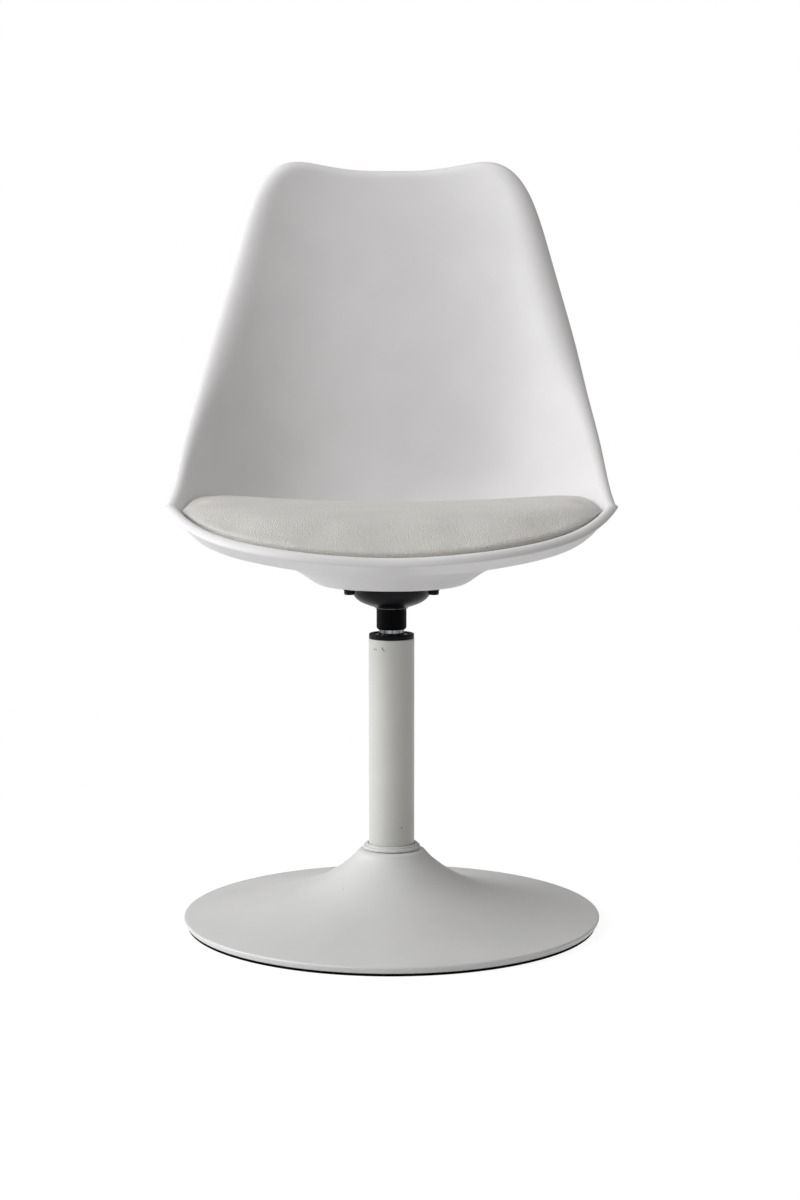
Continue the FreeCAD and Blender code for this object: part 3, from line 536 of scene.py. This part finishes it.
def pan(x, along):
    """Point of the inner face. Rise = dish * way^2 + (1 - dish) * way^power, with way the share of
    the distance to the rail; the point goes from centre to rail by that rise, and the pan's
    middle is eased to a flat floor."""
    row = open_run(station_shares, (axis_share + along / shell_depth) / station_pitch_share)
    way = np.abs(x) / (row[..., 2] * shell_half_width)
    rise = row[..., 6] * way ** 2 + (1 - row[..., 6]) * way ** row[..., 5]
    y = shell_depth * (row[..., 0] + (row[..., 3] - row[..., 0]) * rise)
    z = pan_floor + shell_rise * (row[..., 1] + (row[..., 4] - row[..., 1]) * rise)
    flat = ease((floor_blend - np.hypot(x, y)) / (floor_blend - floor_flat))
    return np.stack([x, y, z + (pan_floor - z) * flat], axis=-1)


def unit(v):
    """Each vector over its own length."""
    return v / np.linalg.norm(v, axis=-1, keepdims=True)


def pan_normal(x, along, step=1 * mm):
    """Cross product of the slopes across and along, taken over one step each way."""
    across = pan(x + step, along) - pan(x - step, along)
    forth = pan(x, along + step) - pan(x, along - step)
    return unit(np.cross(across, forth))


print("pan floor at", pan(np.array([0.0]), np.array([0.0])).round(4))


# %% [markdown]
# The rim could be a bevel, but on this shell it is a real roll: the sheet turns outwards through
# about a right angle, tightly at the front and in a wide band along the back that tightens towards
# its end, like a spiral. So the inner grid is carried on in short steps whose slope grows along
# the roll, over a rounded tip, and back one wall lower as the outer face. Below, the outer face
# eases into a flat plinth with a square recess for the steel plate.

# %% Shell: surface
around, rows_over, rows_under = 320, 96, 90
crowding_over, crowding_under = 1.35, 1.2
roll_steps, tip_points = 24, 11


def rounded_square(angle_x, angle_y, half, corner):
    """Reach from the middle to a square with round corners, in a given direction: half over the
    larger cosine on the sides, and the root of the corner circle's equation at the corners."""
    c, s = np.abs(angle_x), np.abs(angle_y)
    big, small = np.maximum(c, s), np.minimum(c, s)
    inner = half - corner
    side = half / big
    p = inner * (c + s)
    arc = p + np.sqrt(np.maximum(p ** 2 - 2 * inner ** 2 + corner ** 2, 0))
    return np.where(small * side <= inner, side, arc)


def crowded(count, power):
    """Shares from 0 to 1, closer together towards 1: 1 - (1 - share)^power."""
    return 1 - (1 - np.linspace(0, 1, count)[:, None]) ** power


def shell_points():
    """Inner face with its roll, rounded tip, and outer face. Along the roll the slope is
    turn * share^tightening; the outer face lies one wall below, drawn down to the plinth."""
    a, b, reach, rest = laid_flat(outline_shares, around)
    way = crowded(rows_over, crowding_over)
    inner = pan(a * reach * way, b * reach * way)
    inner_out = pan_normal(a * reach * way, b * reach * way)
    rim, rim_out = inner[-1], inner_out[-1]
    forth = unit(np.roll(rim, -1, 0) - np.roll(rim, 1, 0))
    outward = unit(np.cross(forth, rim_out))
    length, turn, tightening = rest[:, :1] * rim_roll, np.radians(rest[:, 1:2]), rest[:, 2:3]
    middle = (np.arange(roll_steps)[:, None, None] + 0.5) / roll_steps
    slope = turn * middle ** tightening
    step = (outward * np.cos(slope) - rim_out * np.sin(slope)) * length / roll_steps
    roll = rim + np.cumsum(step, axis=0)
    angle = turn * (middle + 0.5 / roll_steps) ** tightening
    roll_out = rim_out * np.cos(angle) + outward * np.sin(angle)
    over = np.concatenate([inner, roll])
    over_out = np.concatenate([inner_out, roll_out])
    tip_way = outward * np.cos(turn) - rim_out * np.sin(turn)
    half_turn = np.linspace(0, math.pi, tip_points)[1:-1, None, None]
    edge_top, edge_low = over[-1], over[-1] - over_out[-1] * shell_wall
    tip = (edge_top + edge_low) / 2 + (edge_top - edge_low) / 2 * np.cos(half_turn)
    tip = tip + tip_way * rim_tip * np.sin(half_turn)
    start = plinth_flat / reach
    out_way = start + (1 - start) * crowded(rows_under, crowding_under)
    face = pan(a * reach * out_way, b * reach * out_way)
    face_out = pan_normal(a * reach * out_way, b * reach * out_way)
    under = np.concatenate([face, roll]) - np.concatenate([face_out, roll_out]) * shell_wall
    within = plinth_foot - np.hypot(under[..., 0], under[..., 1])
    down = ease(within / (plinth_foot - plinth_flat))
    under[..., 2] += (shell_bottom - under[..., 2]) * down
    return over, tip, under[::-1]


def recess_points(ring, half, corner, depth, rounding):
    """Rows from a flat ring in to a rounded square mouth, up its wall and in to the middle."""
    ring = ring[:, :2]
    flat = unit(ring)
    mouth = flat * rounded_square(flat[:, 0], flat[:, 1], half, corner)[:, None]
    wider = mouth * (1 + rounding / half)
    plans = [ring + (wider - ring) * s for s in (0.4, 0.8, 1.0)]
    plans += [mouth * s for s in (1 + 0.3 * rounding / half, 1, 1, 0.98, 0.6, 0.3, 0.0)]
    heights = shell_bottom + np.array([0, 0, 0, 0.3 * rounding, rounding] + [depth] * 5)
    heights = np.repeat(heights[:, None, None], len(ring), axis=1)
    return np.concatenate([plans, heights], axis=-1)


over, tip, under = shell_points()
plate_low, plate_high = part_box("seat_plate")
plate_half = plate_high.x
recess_gap, recess_round, plate_corner = 0.3 * mm, 0.5 * mm, 10 * mm
recess = recess_points(under[-1], plate_half + recess_gap, plate_corner,
                       plate_high.z - shell_bottom, recess_round)
shell_grid = np.concatenate([over, tip, under, recess])
piece("bucket_shell", skin(shell_grid), "seat", "shell_plastic", "seat_shell")
cad_low, cad_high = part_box("seat_shell")
print("shell against CAD, mm", ((shell_grid.reshape(-1, 3).min(0) - cad_low) / mm).round(2),
      ((shell_grid.reshape(-1, 3).max(0) - cad_high) / mm).round(2))


# %% [markdown]
# The cushion is a foam pad on a board, wrapped in leathercloth that is drawn in at the side and
# tucked under. Its form is a dome over a rounded outline, fuller towards the sides than the
# front. The edge hides in the crease between pad and shell, so the side only has to draw in and
# turn under.

# %% Cushion: form
cushion_crown = 460 * mm
cushion_saddle = 9 * mm
edge_lift = 7 * mm
lie_gap = 0.7 * mm
board_top_lift = 5.7 * mm
leather = 1.2 * mm
hub = 30 * mm
# Across, along, fullness towards that edge, share of the edge's lift
cushion_shares = np.array([
    (0.000, -0.423, 3.2, 0.65), (0.240, -0.421, 3.2, 0.65), (0.472, -0.396, 3.4, 0.67),
    (0.680, -0.338, 4.2, 0.75), (0.836, -0.255, 6.0, 0.85), (0.918, -0.160, 8.5, 0.95),
    (0.940, -0.060, 11.0, 1.00), (0.943, 0.050, 11.0, 1.00), (0.910, 0.160, 8.0, 1.00),
    (0.815, 0.250, 5.0, 1.00), (0.650, 0.310, 4.0, 1.00), (0.440, 0.340, 3.5, 1.00),
    (0.220, 0.352, 3.2, 1.00), (0.000, 0.356, 3.2, 1.00)])
round_share = 0.60
side_shares = np.array([(1.0, 0.55), (0.994, 0.20), (0.972, 0.0)])


def cushion_rows(count, dome_rows):
    """Rows of the cushion's outside: the dome from its middle to its edge, the drawn-in side, and
    the tuck under the board's edge, round the edge and in over the board.
    Dome height = edge + (crown - edge) * (1 - way^fullness)^round_share."""
    a, b, reach, rest = laid_flat(cushion_shares, count)
    fullness, lift = rest[:, 0], rest[:, 1] * edge_lift

    def over_pan(way, off):
        r = hub + (reach - hub) * way
        r = np.where(way < 0, 0, r)
        return pan(a * r, b * r) + pan_normal(a * r, b * r) * np.reshape(off, (-1, 1))

    edge = pan(a * reach, b * reach)[:, 2] + lift
    way = crowded(dome_rows, 2)
    r = reach * way
    plan = pan(a * r, b * r)
    crown = cushion_crown + cushion_saddle * (plan[..., 0] / shell_half_width) ** 2
    swell = np.clip(1 - way ** fullness, 0, 1) ** round_share
    dome = np.stack([plan[..., 0], plan[..., 1], edge + (crown - edge) * swell], axis=-1)
    rise = lift - lie_gap
    side = [over_pan(w, lie_gap + rise * s) for w, s in side_shares]
    tuck = [over_pan(w, lie_gap) for w in (0.95, 0.91, 0.87, 0.845)]
    back = [over_pan(w, lie_gap + leather) for w in (0.842, 0.87, 0.91, 0.95)]
    wrap = [over_pan(0.958, lie_gap + leather), over_pan(0.962, board_top_lift),
            over_pan(0.95, board_top_lift + 0.3 * mm)]
    top = [over_pan(w, board_top_lift + 0.3 * mm) for w in (0.8, 0.6, 0.4, 0.2, 0.0)]
    middle = pan(a * 0, b * 0) + np.array([0, 0, board_top_lift + 0.3 * mm])
    return dome, np.stack(side + tuck + back + wrap + top + [middle])


# %% [markdown]
# A stuffed pad is never quite even. So the dome starts a little slack, and a cloth simulation
# with air pressure inside draws it taut, while its edge is held. The simulation runs on a coarse
# grid with the same layout, and only its movement is kept: capped, carried over to the fine grid
# by splines, and faded out near the edge. No cloth is left on the cushion.

# %% Cushion: cloth pass
sim_around, sim_rows, sim_frames = 72, 20, 20
pad_around, pad_rows = 288, 80
pad_inset = 2.5 * mm
most_movement = 3.5 * mm


def drawn_taut():
    """Movement of the dome's points in a short cloth simulation with air pressure inside."""
    dome, rest_rows = cushion_rows(sim_around, sim_rows)
    slack = dome.copy()
    slack[:-1, :, 2] -= pad_inset
    proxy = placed("pad_proxy", skin(np.concatenate([slack, rest_rows])))
    held = proxy.vertex_groups.new(name="held")
    first_held = 1 + (sim_rows - 2) * sim_around
    held.add(list(range(first_held, len(proxy.data.vertices))), 1.0, "REPLACE")
    cloth = proxy.modifiers.new("cloth", "CLOTH")
    cloth.settings.quality = 6
    cloth.settings.use_pressure = True
    cloth.settings.uniform_pressure_force = 4.0
    cloth.settings.vertex_group_mass = "held"
    cloth.settings.tension_stiffness = 20
    cloth.settings.bending_stiffness = 2
    cloth.settings.effector_weights.gravity = 0
    cloth.collision_settings.use_collision = False
    start = read(proxy.data.vertices, "co", 3)
    scene = bpy.context.scene
    for frame_number in range(sim_frames):
        scene.frame_set(frame_number + 1)
    settled = proxy.evaluated_get(bpy.context.evaluated_depsgraph_get())
    end = read(settled.data.vertices, "co", 3)
    scene.frame_set(1)
    bpy.data.objects.remove(proxy)
    moved = (end - start).reshape(-1, 3)[:first_held]
    length = np.linalg.norm(moved, axis=1, keepdims=True)
    print("cloth moved up to %.1f mm" % (length.max() / mm))
    moved *= np.minimum(1, most_movement / np.maximum(length, 1e-9))
    field = np.zeros((sim_rows, sim_around, 3))
    field[0] = moved[0]
    field[1:sim_rows - 1] = moved[1:].reshape(sim_rows - 2, sim_around, 3)
    return field


def finer(field, rows, columns):
    """A grid of movements at more rows and columns: open runs down, closed runs round."""
    down = open_run(field.reshape(len(field), -1), np.linspace(0, len(field) - 1, rows))
    down = down.reshape(rows, field.shape[1], 3)
    turned = down.transpose(1, 0, 2).reshape(field.shape[1], -1)
    return closed_run(turned, columns).reshape(columns, rows, 3).transpose(1, 0, 2)


dome, tucked = cushion_rows(pad_around, pad_rows)
# Full over the inner three quarters of the rows, and nothing at the edge
dome[:-1, :, 2] -= pad_inset * ease(np.linspace(4, 0, pad_rows - 1))[:, None]
fade = ease(np.linspace(4, 0, pad_rows))[:, None, None]
dome += finer(drawn_taut(), pad_rows, pad_around) * fade
cushion = piece("cushion", skin(np.concatenate([dome, tucked])), "seat", "cushion_leather",
                "cushion_cover", "cushion_foam")


# %% [markdown]
# Column, base, collar and all the rings between are turned shapes: a closed profile of radius and
# height carried round the axis. Real edges are never sharp, so each profile's corners become small
# arcs, with one extra point beside each arc that keeps the flat next to it shaded flat.

# %% Turned pieces
def rounded(corners, radii, steps=5):
    """Closed outline with arcs for corners, radii in mm. The arc's centre lies on the corner's
    bisector, at radius / sin(half angle), and the points turn evenly about it."""
    corners = np.array(corners, float)
    radii = np.broadcast_to(radii, len(corners)) * mm
    outline = []
    befores, afters = np.roll(corners, 1, 0), np.roll(corners, -1, 0)
    for before, here, after, r in zip(befores, corners, afters, radii):
        if r == 0:
            outline.append(here[None])
            continue
        to_before, to_after = unit(before - here), unit(after - here)
        half = math.acos(np.clip(to_before @ to_after, -1, 1)) / 2
        tangent = r / math.tan(half)
        centre = here + unit(to_before + to_after) * r / math.sin(half)
        first, last = here + to_before * tangent - centre, here + to_after * tangent - centre
        sweep = math.pi - 2 * half
        t = np.linspace(0, 1, steps)[:, None]
        arc = np.sin((1 - t) * sweep) * first + np.sin(t * sweep) * last
        arc = centre + arc / math.sin(sweep)
        hold = 0.4 * r
        outline.append(arc[:1] + to_before * hold)
        outline.append(arc)
        outline.append(arc[-1:] + to_after * hold)
    return np.concatenate(outline)


def angles(count):
    """Even angles round the axis."""
    return np.arange(count) * 2 * math.pi / count


def ringed(reach_rows, heights):
    """Grid of rings: x = reach cos t, y = reach sin t, each row at its height."""
    t = angles(reach_rows.shape[1])
    z = np.asarray(heights, float)[:, None] + 0 * t
    return np.stack([reach_rows * np.cos(t), reach_rows * np.sin(t), z], axis=-1)


def turned(profile, columns=192):
    """Grid of a profile of radius and height carried round the axis."""
    r, z = np.asarray(profile).T
    return ringed(np.repeat(r[:, None], columns, axis=1), z)


def through(points, steps):
    """Smooth line through points: each stretch is a cubic whose end slopes are half the chord
    between the neighbours."""
    p = np.array(points, float)
    padded = np.concatenate([[2 * p[0] - p[1]], p, [2 * p[-1] - p[-2]]])
    f = np.linspace(0, 1, steps, endpoint=False)[:, None]
    a, b, c, d = padded[:-3], padded[1:-2], padded[2:-1], padded[3:]
    run = (b[:, None] * (1 - f ** 2 * (3 - 2 * f)) + c[:, None] * f ** 2 * (3 - 2 * f)
           + (c - a)[:, None] / 2 * f * (1 - f) ** 2 - (d - b)[:, None] / 2 * f ** 2 * (1 - f))
    return np.concatenate([run.reshape(-1, 2), p[-1:]])


def ring_piece(name, profile, body, slot, node, columns=192, material=None):
    """Turned piece with a bore: its profile closes on itself."""
    piece(name, skin(turned(profile, columns), True), body, slot, node, material=material)


def span(node):
    """Bottom and top of a CAD node, and how far out it reaches, which is a turned one's radius."""
    low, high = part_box(node)
    return low.z, high.z, high.x


def section(inner, outer, low, high):
    """Corners of a plain ring's section."""
    return [(inner, low), (outer, low), (outer, high), (inner, high)]


# %% [markdown]
# The column is a plain steel tube, sawn to length and painted. Its mouth is chamfered by hand, so
# it has a wider rounding outside than in. The moulded collar hides the joint of column and base:
# a lip round the tube, a flange below it, and a foot that steps in, which leaves a thin shadow on
# the base.

# %% Column and collar
low, high, tube_radius = span("column_tube")
tube_wall = 2 * mm
bore = tube_radius - tube_wall
profile = rounded(section(bore, tube_radius, low, high), [0.2, 0.3, 0.9, 0.3])
ring_piece("column", profile, "pedestal", "base_paint", "column_tube", 256, column_coat_painted_shade)

low, high, radius = span("base_collar")
gap = 0.2 * mm
foot, shoulder = radius - 2.6 * mm, low + 1.3 * mm
lip, flange = radius - 2.7 * mm, low + 4.6 * mm
profile = rounded([(tube_radius + gap, low), (foot, low), (foot, shoulder), (radius, shoulder),
                   (radius, flange), (lip, flange - 0.3 * mm), (lip, high),
                   (tube_radius + 5 * gap, high), (tube_radius + gap, high - 2.4 * mm)],
                  [0.1, 0.1, 0, 0.5, 1.5, 0.2, 1.0, 0.3, 0], 8)
ring_piece("collar", profile, "pedestal", "collar_plastic", "base_collar", 256)

# %% [markdown]
# The base is a disc of sheet steel spun over a former: a trumpet that flares from the collar to the
# floor, with its edge turned down and under. Its curve is drawn through points given as shares of
# the way out and down, and the sheet's inside is the same curve, one thickness in. It stands on a
# black rubber ring, set back a little, which shows as a dark line along the floor.

# %% Base
cover_bottom, cover_top, _ = span("base_cover")
cover_radius, neck_radius, sheet = 229 * mm, 34 * mm, 2 * mm
# Height of the edge, how far in its rounding starts, and how far under it is turned
edge_height, edge_round, tuck_under = 10.6 * mm, 1.8 * mm, 3.6 * mm
trumpet_shares = np.array([
    (-0.011, 0.000), (0.012, 0.022), (0.034, 0.090), (0.057, 0.154), (0.080, 0.209), (0.103, 0.258),
    (0.126, 0.306), (0.162, 0.374), (0.214, 0.459), (0.281, 0.550), (0.371, 0.648), (0.476, 0.735),
    (0.605, 0.823), (0.735, 0.894), (0.864, 0.951), (0.955, 0.985), (1.000, 1.000)])


def inside(line, wall):
    """The same line one wall in: each point moved square to the slope there."""
    slope = unit(np.gradient(line, axis=0))
    return line + wall * np.stack([slope[:, 1], -slope[:, 0]], axis=1)


hem = cover_radius - edge_round
foot = cover_radius - tuck_under
flare = trumpet_shares * [hem - neck_radius, edge_height - cover_top] + [neck_radius, cover_top]
edge_points = [(cover_radius - 0.4 * mm, edge_height - 0.8 * mm),
               (cover_radius, edge_height - 1.9 * mm),
               (cover_radius - 1.6 * mm, cover_bottom + 2.2 * mm),
               (cover_radius - 2.9 * mm, cover_bottom + 0.5 * mm), (foot, cover_bottom)]
line = through(np.concatenate([[(tube_radius + gap, cover_top)], flare, edge_points]), 6)
wall_in = inside(line, sheet)[::-1]
wall_in = wall_in[(wall_in[:, 1] > cover_bottom) & (wall_in[:, 0] > tube_radius + gap)]
profile = np.concatenate([line, [(foot - sheet, cover_bottom)], wall_in,
                          [(tube_radius + gap, cover_top - sheet)]])
ring_piece("base_trumpet", profile, "pedestal", "base_paint", "base_cover", 360)

low, high, radius = span("floor_ring")
ring_top, ring_width, lip_out, lip_in = 3 * mm, 24 * mm, 222.9 * mm, 219.4 * mm
ring_in = radius - ring_width
profile = rounded([(ring_in, low), (radius, low), (radius, ring_top), (lip_out, ring_top),
                   (lip_out, high), (lip_in, high), (lip_in, ring_top), (ring_in, ring_top)],
                  [0.5, 0.6, 0.4, 0, 0.4, 0.4, 0, 0.5], 4)
ring_piece("floor_seal", profile, "pedestal", "floor_rubber", "floor_ring", 360)

# %% [markdown]
# Between column and seat sits the swivel. A black ring caps the column and holds a bright washer,
# the chromed spindle comes up through it, and a black sleeve, open at its foot, slips over the
# spindle's taper. The sleeve is welded into a pressed dish, and the dish to the square plate. Each
# hole keeps the real clearance, so that nothing touches when the seat turns.

# %% Swivel
spindle_hole, washer_hole, sleeve_hole, socket_hole = 14.06 * mm, 14.3 * mm, 14.02 * mm, 16.42 * mm

low, high, radius = span("cap_ring")
flange_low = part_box("column_tube")[1].z
guide_radius = bore - 0.02 * mm
recess_radius, recess_floor = 20 * mm, high - 3 * mm
profile = rounded([(spindle_hole, low), (guide_radius, low), (guide_radius, flange_low),
                   (radius, flange_low), (radius, high), (recess_radius, high),
                   (recess_radius, recess_floor), (spindle_hole, recess_floor)],
                  [0.3, 0.3, 0, 0.3, 1.3, 0.6, 0, 0.3], 7)
ring_piece("cap", profile, "pedestal", "black_plastic", "cap_ring")

low, high, radius = span("cap_washer")
profile = rounded(section(washer_hole, radius, low, high), 0.25, 4)
ring_piece("cap_shim", profile, "pedestal", "zinc_steel", "cap_washer")

low, high, radius = span("taper_socket")
profile = rounded([(sleeve_hole, low), (radius - 1.6 * mm, low), (radius, low + 1.8 * mm),
                   (radius, high), (sleeve_hole - 1.2 * mm, high)],
                  [0.3, 0.5, 0.6, 0.2, 0.2])
ring_piece("sleeve", profile, "seat", "black_steel", "taper_socket", material=sleeve_painted_shade)

low, high, radius = span("socket_washer")
profile = rounded(section(socket_hole, radius, low, high), 0.22, 4)
ring_piece("sleeve_shim", profile, "seat", "zinc_steel", "socket_washer", material=shim_painted_shade)

low, high, radius = span("plate_dish")
dish_wall, skirt = 2.5 * mm, 1.5 * mm
dish_shares = np.array([(1.0, 0.0), (0.996, 0.12), (0.976, 0.32), (0.912, 0.52), (0.800, 0.70),
                        (0.660, 0.83), (0.530, 0.92), (0.420, 1.0)])
sides = []
for inset in (0.0, dish_wall):
    r, depth = radius - inset, high - skirt - low - inset
    sides.append(through(dish_shares * [r, -depth] + [0, high - skirt], 8))
profile = np.concatenate([[(radius, high)], sides[0],
                          [(socket_hole, low), (socket_hole, low + dish_wall)],
                          sides[1][::-1], [(radius - dish_wall, high)]])
ring_piece("dish", profile, "seat", "black_steel", "plate_dish", 256)

low, high, radius = span("spindle")
socket_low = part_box("taper_socket")[0].z
journal_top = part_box("upper_race")[1].z
ring_low, ring_high, _ = span("retaining_ring")
journal, groove, chamfer, taper = 9.97 * mm, radius - 0.9 * mm, 0.8 * mm, 0.025
top_radius = radius - taper * (high - socket_low)
profile = rounded([(0, low), (journal, low), (journal, journal_top), (radius, journal_top),
                   (radius, ring_low), (groove, ring_low), (groove, ring_high), (radius, ring_high),
                   (radius, socket_low), (top_radius, high - chamfer), (top_radius - chamfer, high),
                   (0, high)], [0, 0.3, 0, 0.3, 0.1, 0, 0, 0.1, 0, 0, 0, 0])
piece("swivel_spindle", skin(turned(profile)), "seat", "spindle_chrome", "spindle")


# %% [markdown]
# The seat plate is a square with round corners, and four hexagon bolts with washers hold it to
# the shell. Both are still grids round an axis: only the reach of each ring changes with its
# angle, to a rounded square for the plate, and to a hexagon cut by a cone for the bolt heads. One
# bolt is made and its points and faces are repeated at the four places.

# %% Plate, washers and bolts
t = angles(256)
edge = rounded_square(np.cos(t), np.sin(t), plate_half, plate_corner)
hole = socket_hole + 0 * t
low, high = plate_low.z, plate_high.z
ease_in = 0.4 * mm
# How far in and how far down each ring of the rounded edge lies
inset, drop = ease_in * np.array([3, 1, 0.3, 0]), ease_in * np.array([0, 0, 0, 0.3, 1])
rows = np.concatenate([[hole], edge - inset[:, None]])
rows = np.concatenate([rows, rows[::-1]])
levels = np.concatenate([high - drop, low + drop[::-1]])
piece("carrier_plate", skin(ringed(rows, levels), True), "seat", "black_steel", "seat_plate")

bolt_square = 45 * mm
bolt_places = [(x * bolt_square, y * bolt_square, 0) for x in (-1, 1) for y in (-1, 1)]


def repeated(mesh, places):
    """The mesh over again at each place: its points and faces repeated, moved and renumbered."""
    co = read(mesh.vertices, "co", 3).reshape(-1, 3)
    corners = read(mesh.loops, "vertex_index", 1, int)
    starts = read(mesh.polygons, "loop_start", 1, int)
    bpy.data.meshes.remove(mesh)
    copies = np.arange(len(places))[:, None]
    points = (np.array(places)[:, None] + co).reshape(-1, 3)
    return mesh_of(points, (copies * len(co) + corners).ravel(),
                   (copies * len(corners) + starts).ravel())


low, high, _ = span("plate_washers")
clear, washer_radius = 3.4 * mm, 6.0 * mm
washer = skin(turned(rounded(section(clear, washer_radius, low, high), 0.25, 4), 64), True)
piece("bolt_washers", repeated(washer, bolt_places), "seat", "black_steel", "plate_washers")

low, high, _ = span("plate_bolts")
head_height, flats, shank = 4 * mm, 10 * mm, 3 * mm
t = angles(96)
hexagon = flats / 2 / np.cos((t % (math.pi / 3)) - math.pi / 6)
# Reach and height along the cone that cuts the head's corners
cone = mm * np.array([(4.2, 0.0), (4.7, 0.08), (5.0, 0.3), (5.25, 0.6), (5.55, 1.0), (6.0, 1.5)])
bolt_length, burr, point = high - low, 0.2 * mm, 0.5 * mm
rows = [0 * t] + [np.minimum(hexagon, reach) for reach in cone[:, 0]]
rows += [hexagon, hexagon - burr, shank + 0 * t, shank + 0 * t, shank - point + 0 * t, 0 * t]
levels = [0.0, *cone[:, 1], head_height - burr, head_height, head_height,
          bolt_length - point, bolt_length, bolt_length]
bolt = skin(ringed(np.stack(rows), low + np.array(levels)))
piece("carrier_bolts", repeated(bolt, bolt_places), "seat", "black_steel", "plate_bolts")


# %% [markdown]
# The floor is a pale sheet that fades into a white surround. Seen directly it glows, so it stays
# white in the picture, yet near the chair part of its light comes from the lamps, so the soft
# contact shadow still shows. For the rays that light the chair it is plain paper, so the chair
# never gets more light for the background's sake.

# %% Floor and surround
def make_floor():
    """White to the camera and in reflections, with a share of lamp light near the chair."""
    material = bpy.data.materials.new("studio_floor")
    material.use_nodes = True
    tree = material.node_tree
    tree.nodes.clear()
    rays = add(tree, "LightPath")
    seen = most(tree, [rays.outputs["Is Camera Ray"], rays.outputs["Is Glossy Ray"],
                       rays.outputs["Is Transmission Ray"]])
    paper = add(tree, "BsdfDiffuse", {"Color": linear("#e9e9e9")}).outputs[0]
    lit = add(tree, "BsdfDiffuse", {"Color": linear("#7c7c7c")}).outputs[0]
    glow = add(tree, "Emission", {"Color": (1, 1, 1, 1), "Strength": 0.90}).outputs[0]
    near = add(tree, "AddShader", {0: lit, 1: glow}).outputs[0]
    white = add(tree, "Emission", {"Color": (1, 1, 1, 1), "Strength": 1.0}).outputs[0]
    place = add(tree, "TexCoord").outputs["Object"]
    reach = add(tree, "VectorMath", {0: place}, operation="LENGTH").outputs["Value"]
    away = spread(tree, reach, 0.4, 0.9)
    bright = add(tree, "MixShader", {0: away, 1: near, 2: white}).outputs[0]
    shade = add(tree, "MixShader", {0: seen, 1: paper, 2: bright}).outputs[0]
    add(tree, "OutputMaterial", {"Surface": shade})
    return material


floor_half = 6.0
corners = floor_half * np.array([(-1, -1, 0), (1, -1, 0), (1, 1, 0), (-1, 1, 0)])
floor = placed("floor", mesh_of(corners, np.arange(4), np.zeros(1, int)))
floor.data.materials.append(make_floor())
print("floor", 2 * floor_half, "m across")

world = bpy.data.worlds.new("studio")
bpy.context.scene.world = world
world.use_nodes = True
tree = world.node_tree
tree.nodes.clear()
rays = add(tree, "LightPath")
seen = most(tree, [rays.outputs["Is Camera Ray"], rays.outputs["Is Transmission Ray"]])
ambient = add(tree, "Background", {"Color": linear("#fffcf6"), "Strength": 0.28}).outputs[0]
white = add(tree, "Background", {"Color": (1, 1, 1, 1), "Strength": 1.0}).outputs[0]
surround = add(tree, "MixShader", {0: seen, 1: ambient, 2: white}).outputs[0]
add(tree, "OutputWorld", {"Surface": surround})


# %% [markdown]
# The photograph is lit from the left by a broad soft source high in front and a weaker one low at
# the side, with a little light from above, and the right side is left to the light of the room.
# Three large area lamps do the same: their size gives the soft edge of each shade, and their power
# is set so that a pale surface facing them renders about as pale as its colour is written.

# %% Lamps
seat_middle = (0, 0, 0.5)


def lamp(name, place, size, power):
    """Square lamp at a place in metres, aimed at the seat: tilted from straight down by the angle
    between aim and vertical, and turned by the aim's direction on the floor."""
    light = bpy.data.lights.new(name, "AREA")
    light.size, light.energy = size, power
    obj = placed(name, light)
    obj.location = place
    x, y, z = np.array(seat_middle, float) - place
    obj.rotation_euler = (math.atan2(math.hypot(x, y), -z), 0, math.atan2(-x, y))
    print("%-10s %4.1f W" % (name, power))


lamp("key_left", (-2.4, -1.2, 1.9), 1.8, 49)
lamp("side_left", (-2.8, 0.3, 1.2), 1.6, 37)
lamp("overhead", (0.0, 0.2, 3.0), 2.0, 15.5)

# %% [markdown]
# The camera stands where the photographer did: eye height and distance come from how the round base
# and the shell are foreshortened, and the lens from how large the chair appears.

# %% Camera
# Distance and height in metres, pitch and yaw in degrees
camera_distance, camera_height = 2.400, 0.6176
camera_pitch, camera_yaw = 6.19, -0.221
focal_pixels, picture_height = 2212.5, 1200
camera = bpy.data.cameras.new("camera")
camera.sensor_width = 36.0
camera.lens = camera.sensor_width * focal_pixels / picture_height
camera_object = placed("camera", camera)
camera_object.location = (0, -camera_distance, camera_height)
camera_object.rotation_euler = (math.radians(90 - camera_pitch), 0, math.radians(camera_yaw))
bpy.context.scene.camera = camera_object
bpy.context.scene.view_settings.view_transform = "Standard"
print("lens %.1f mm" % camera.lens)
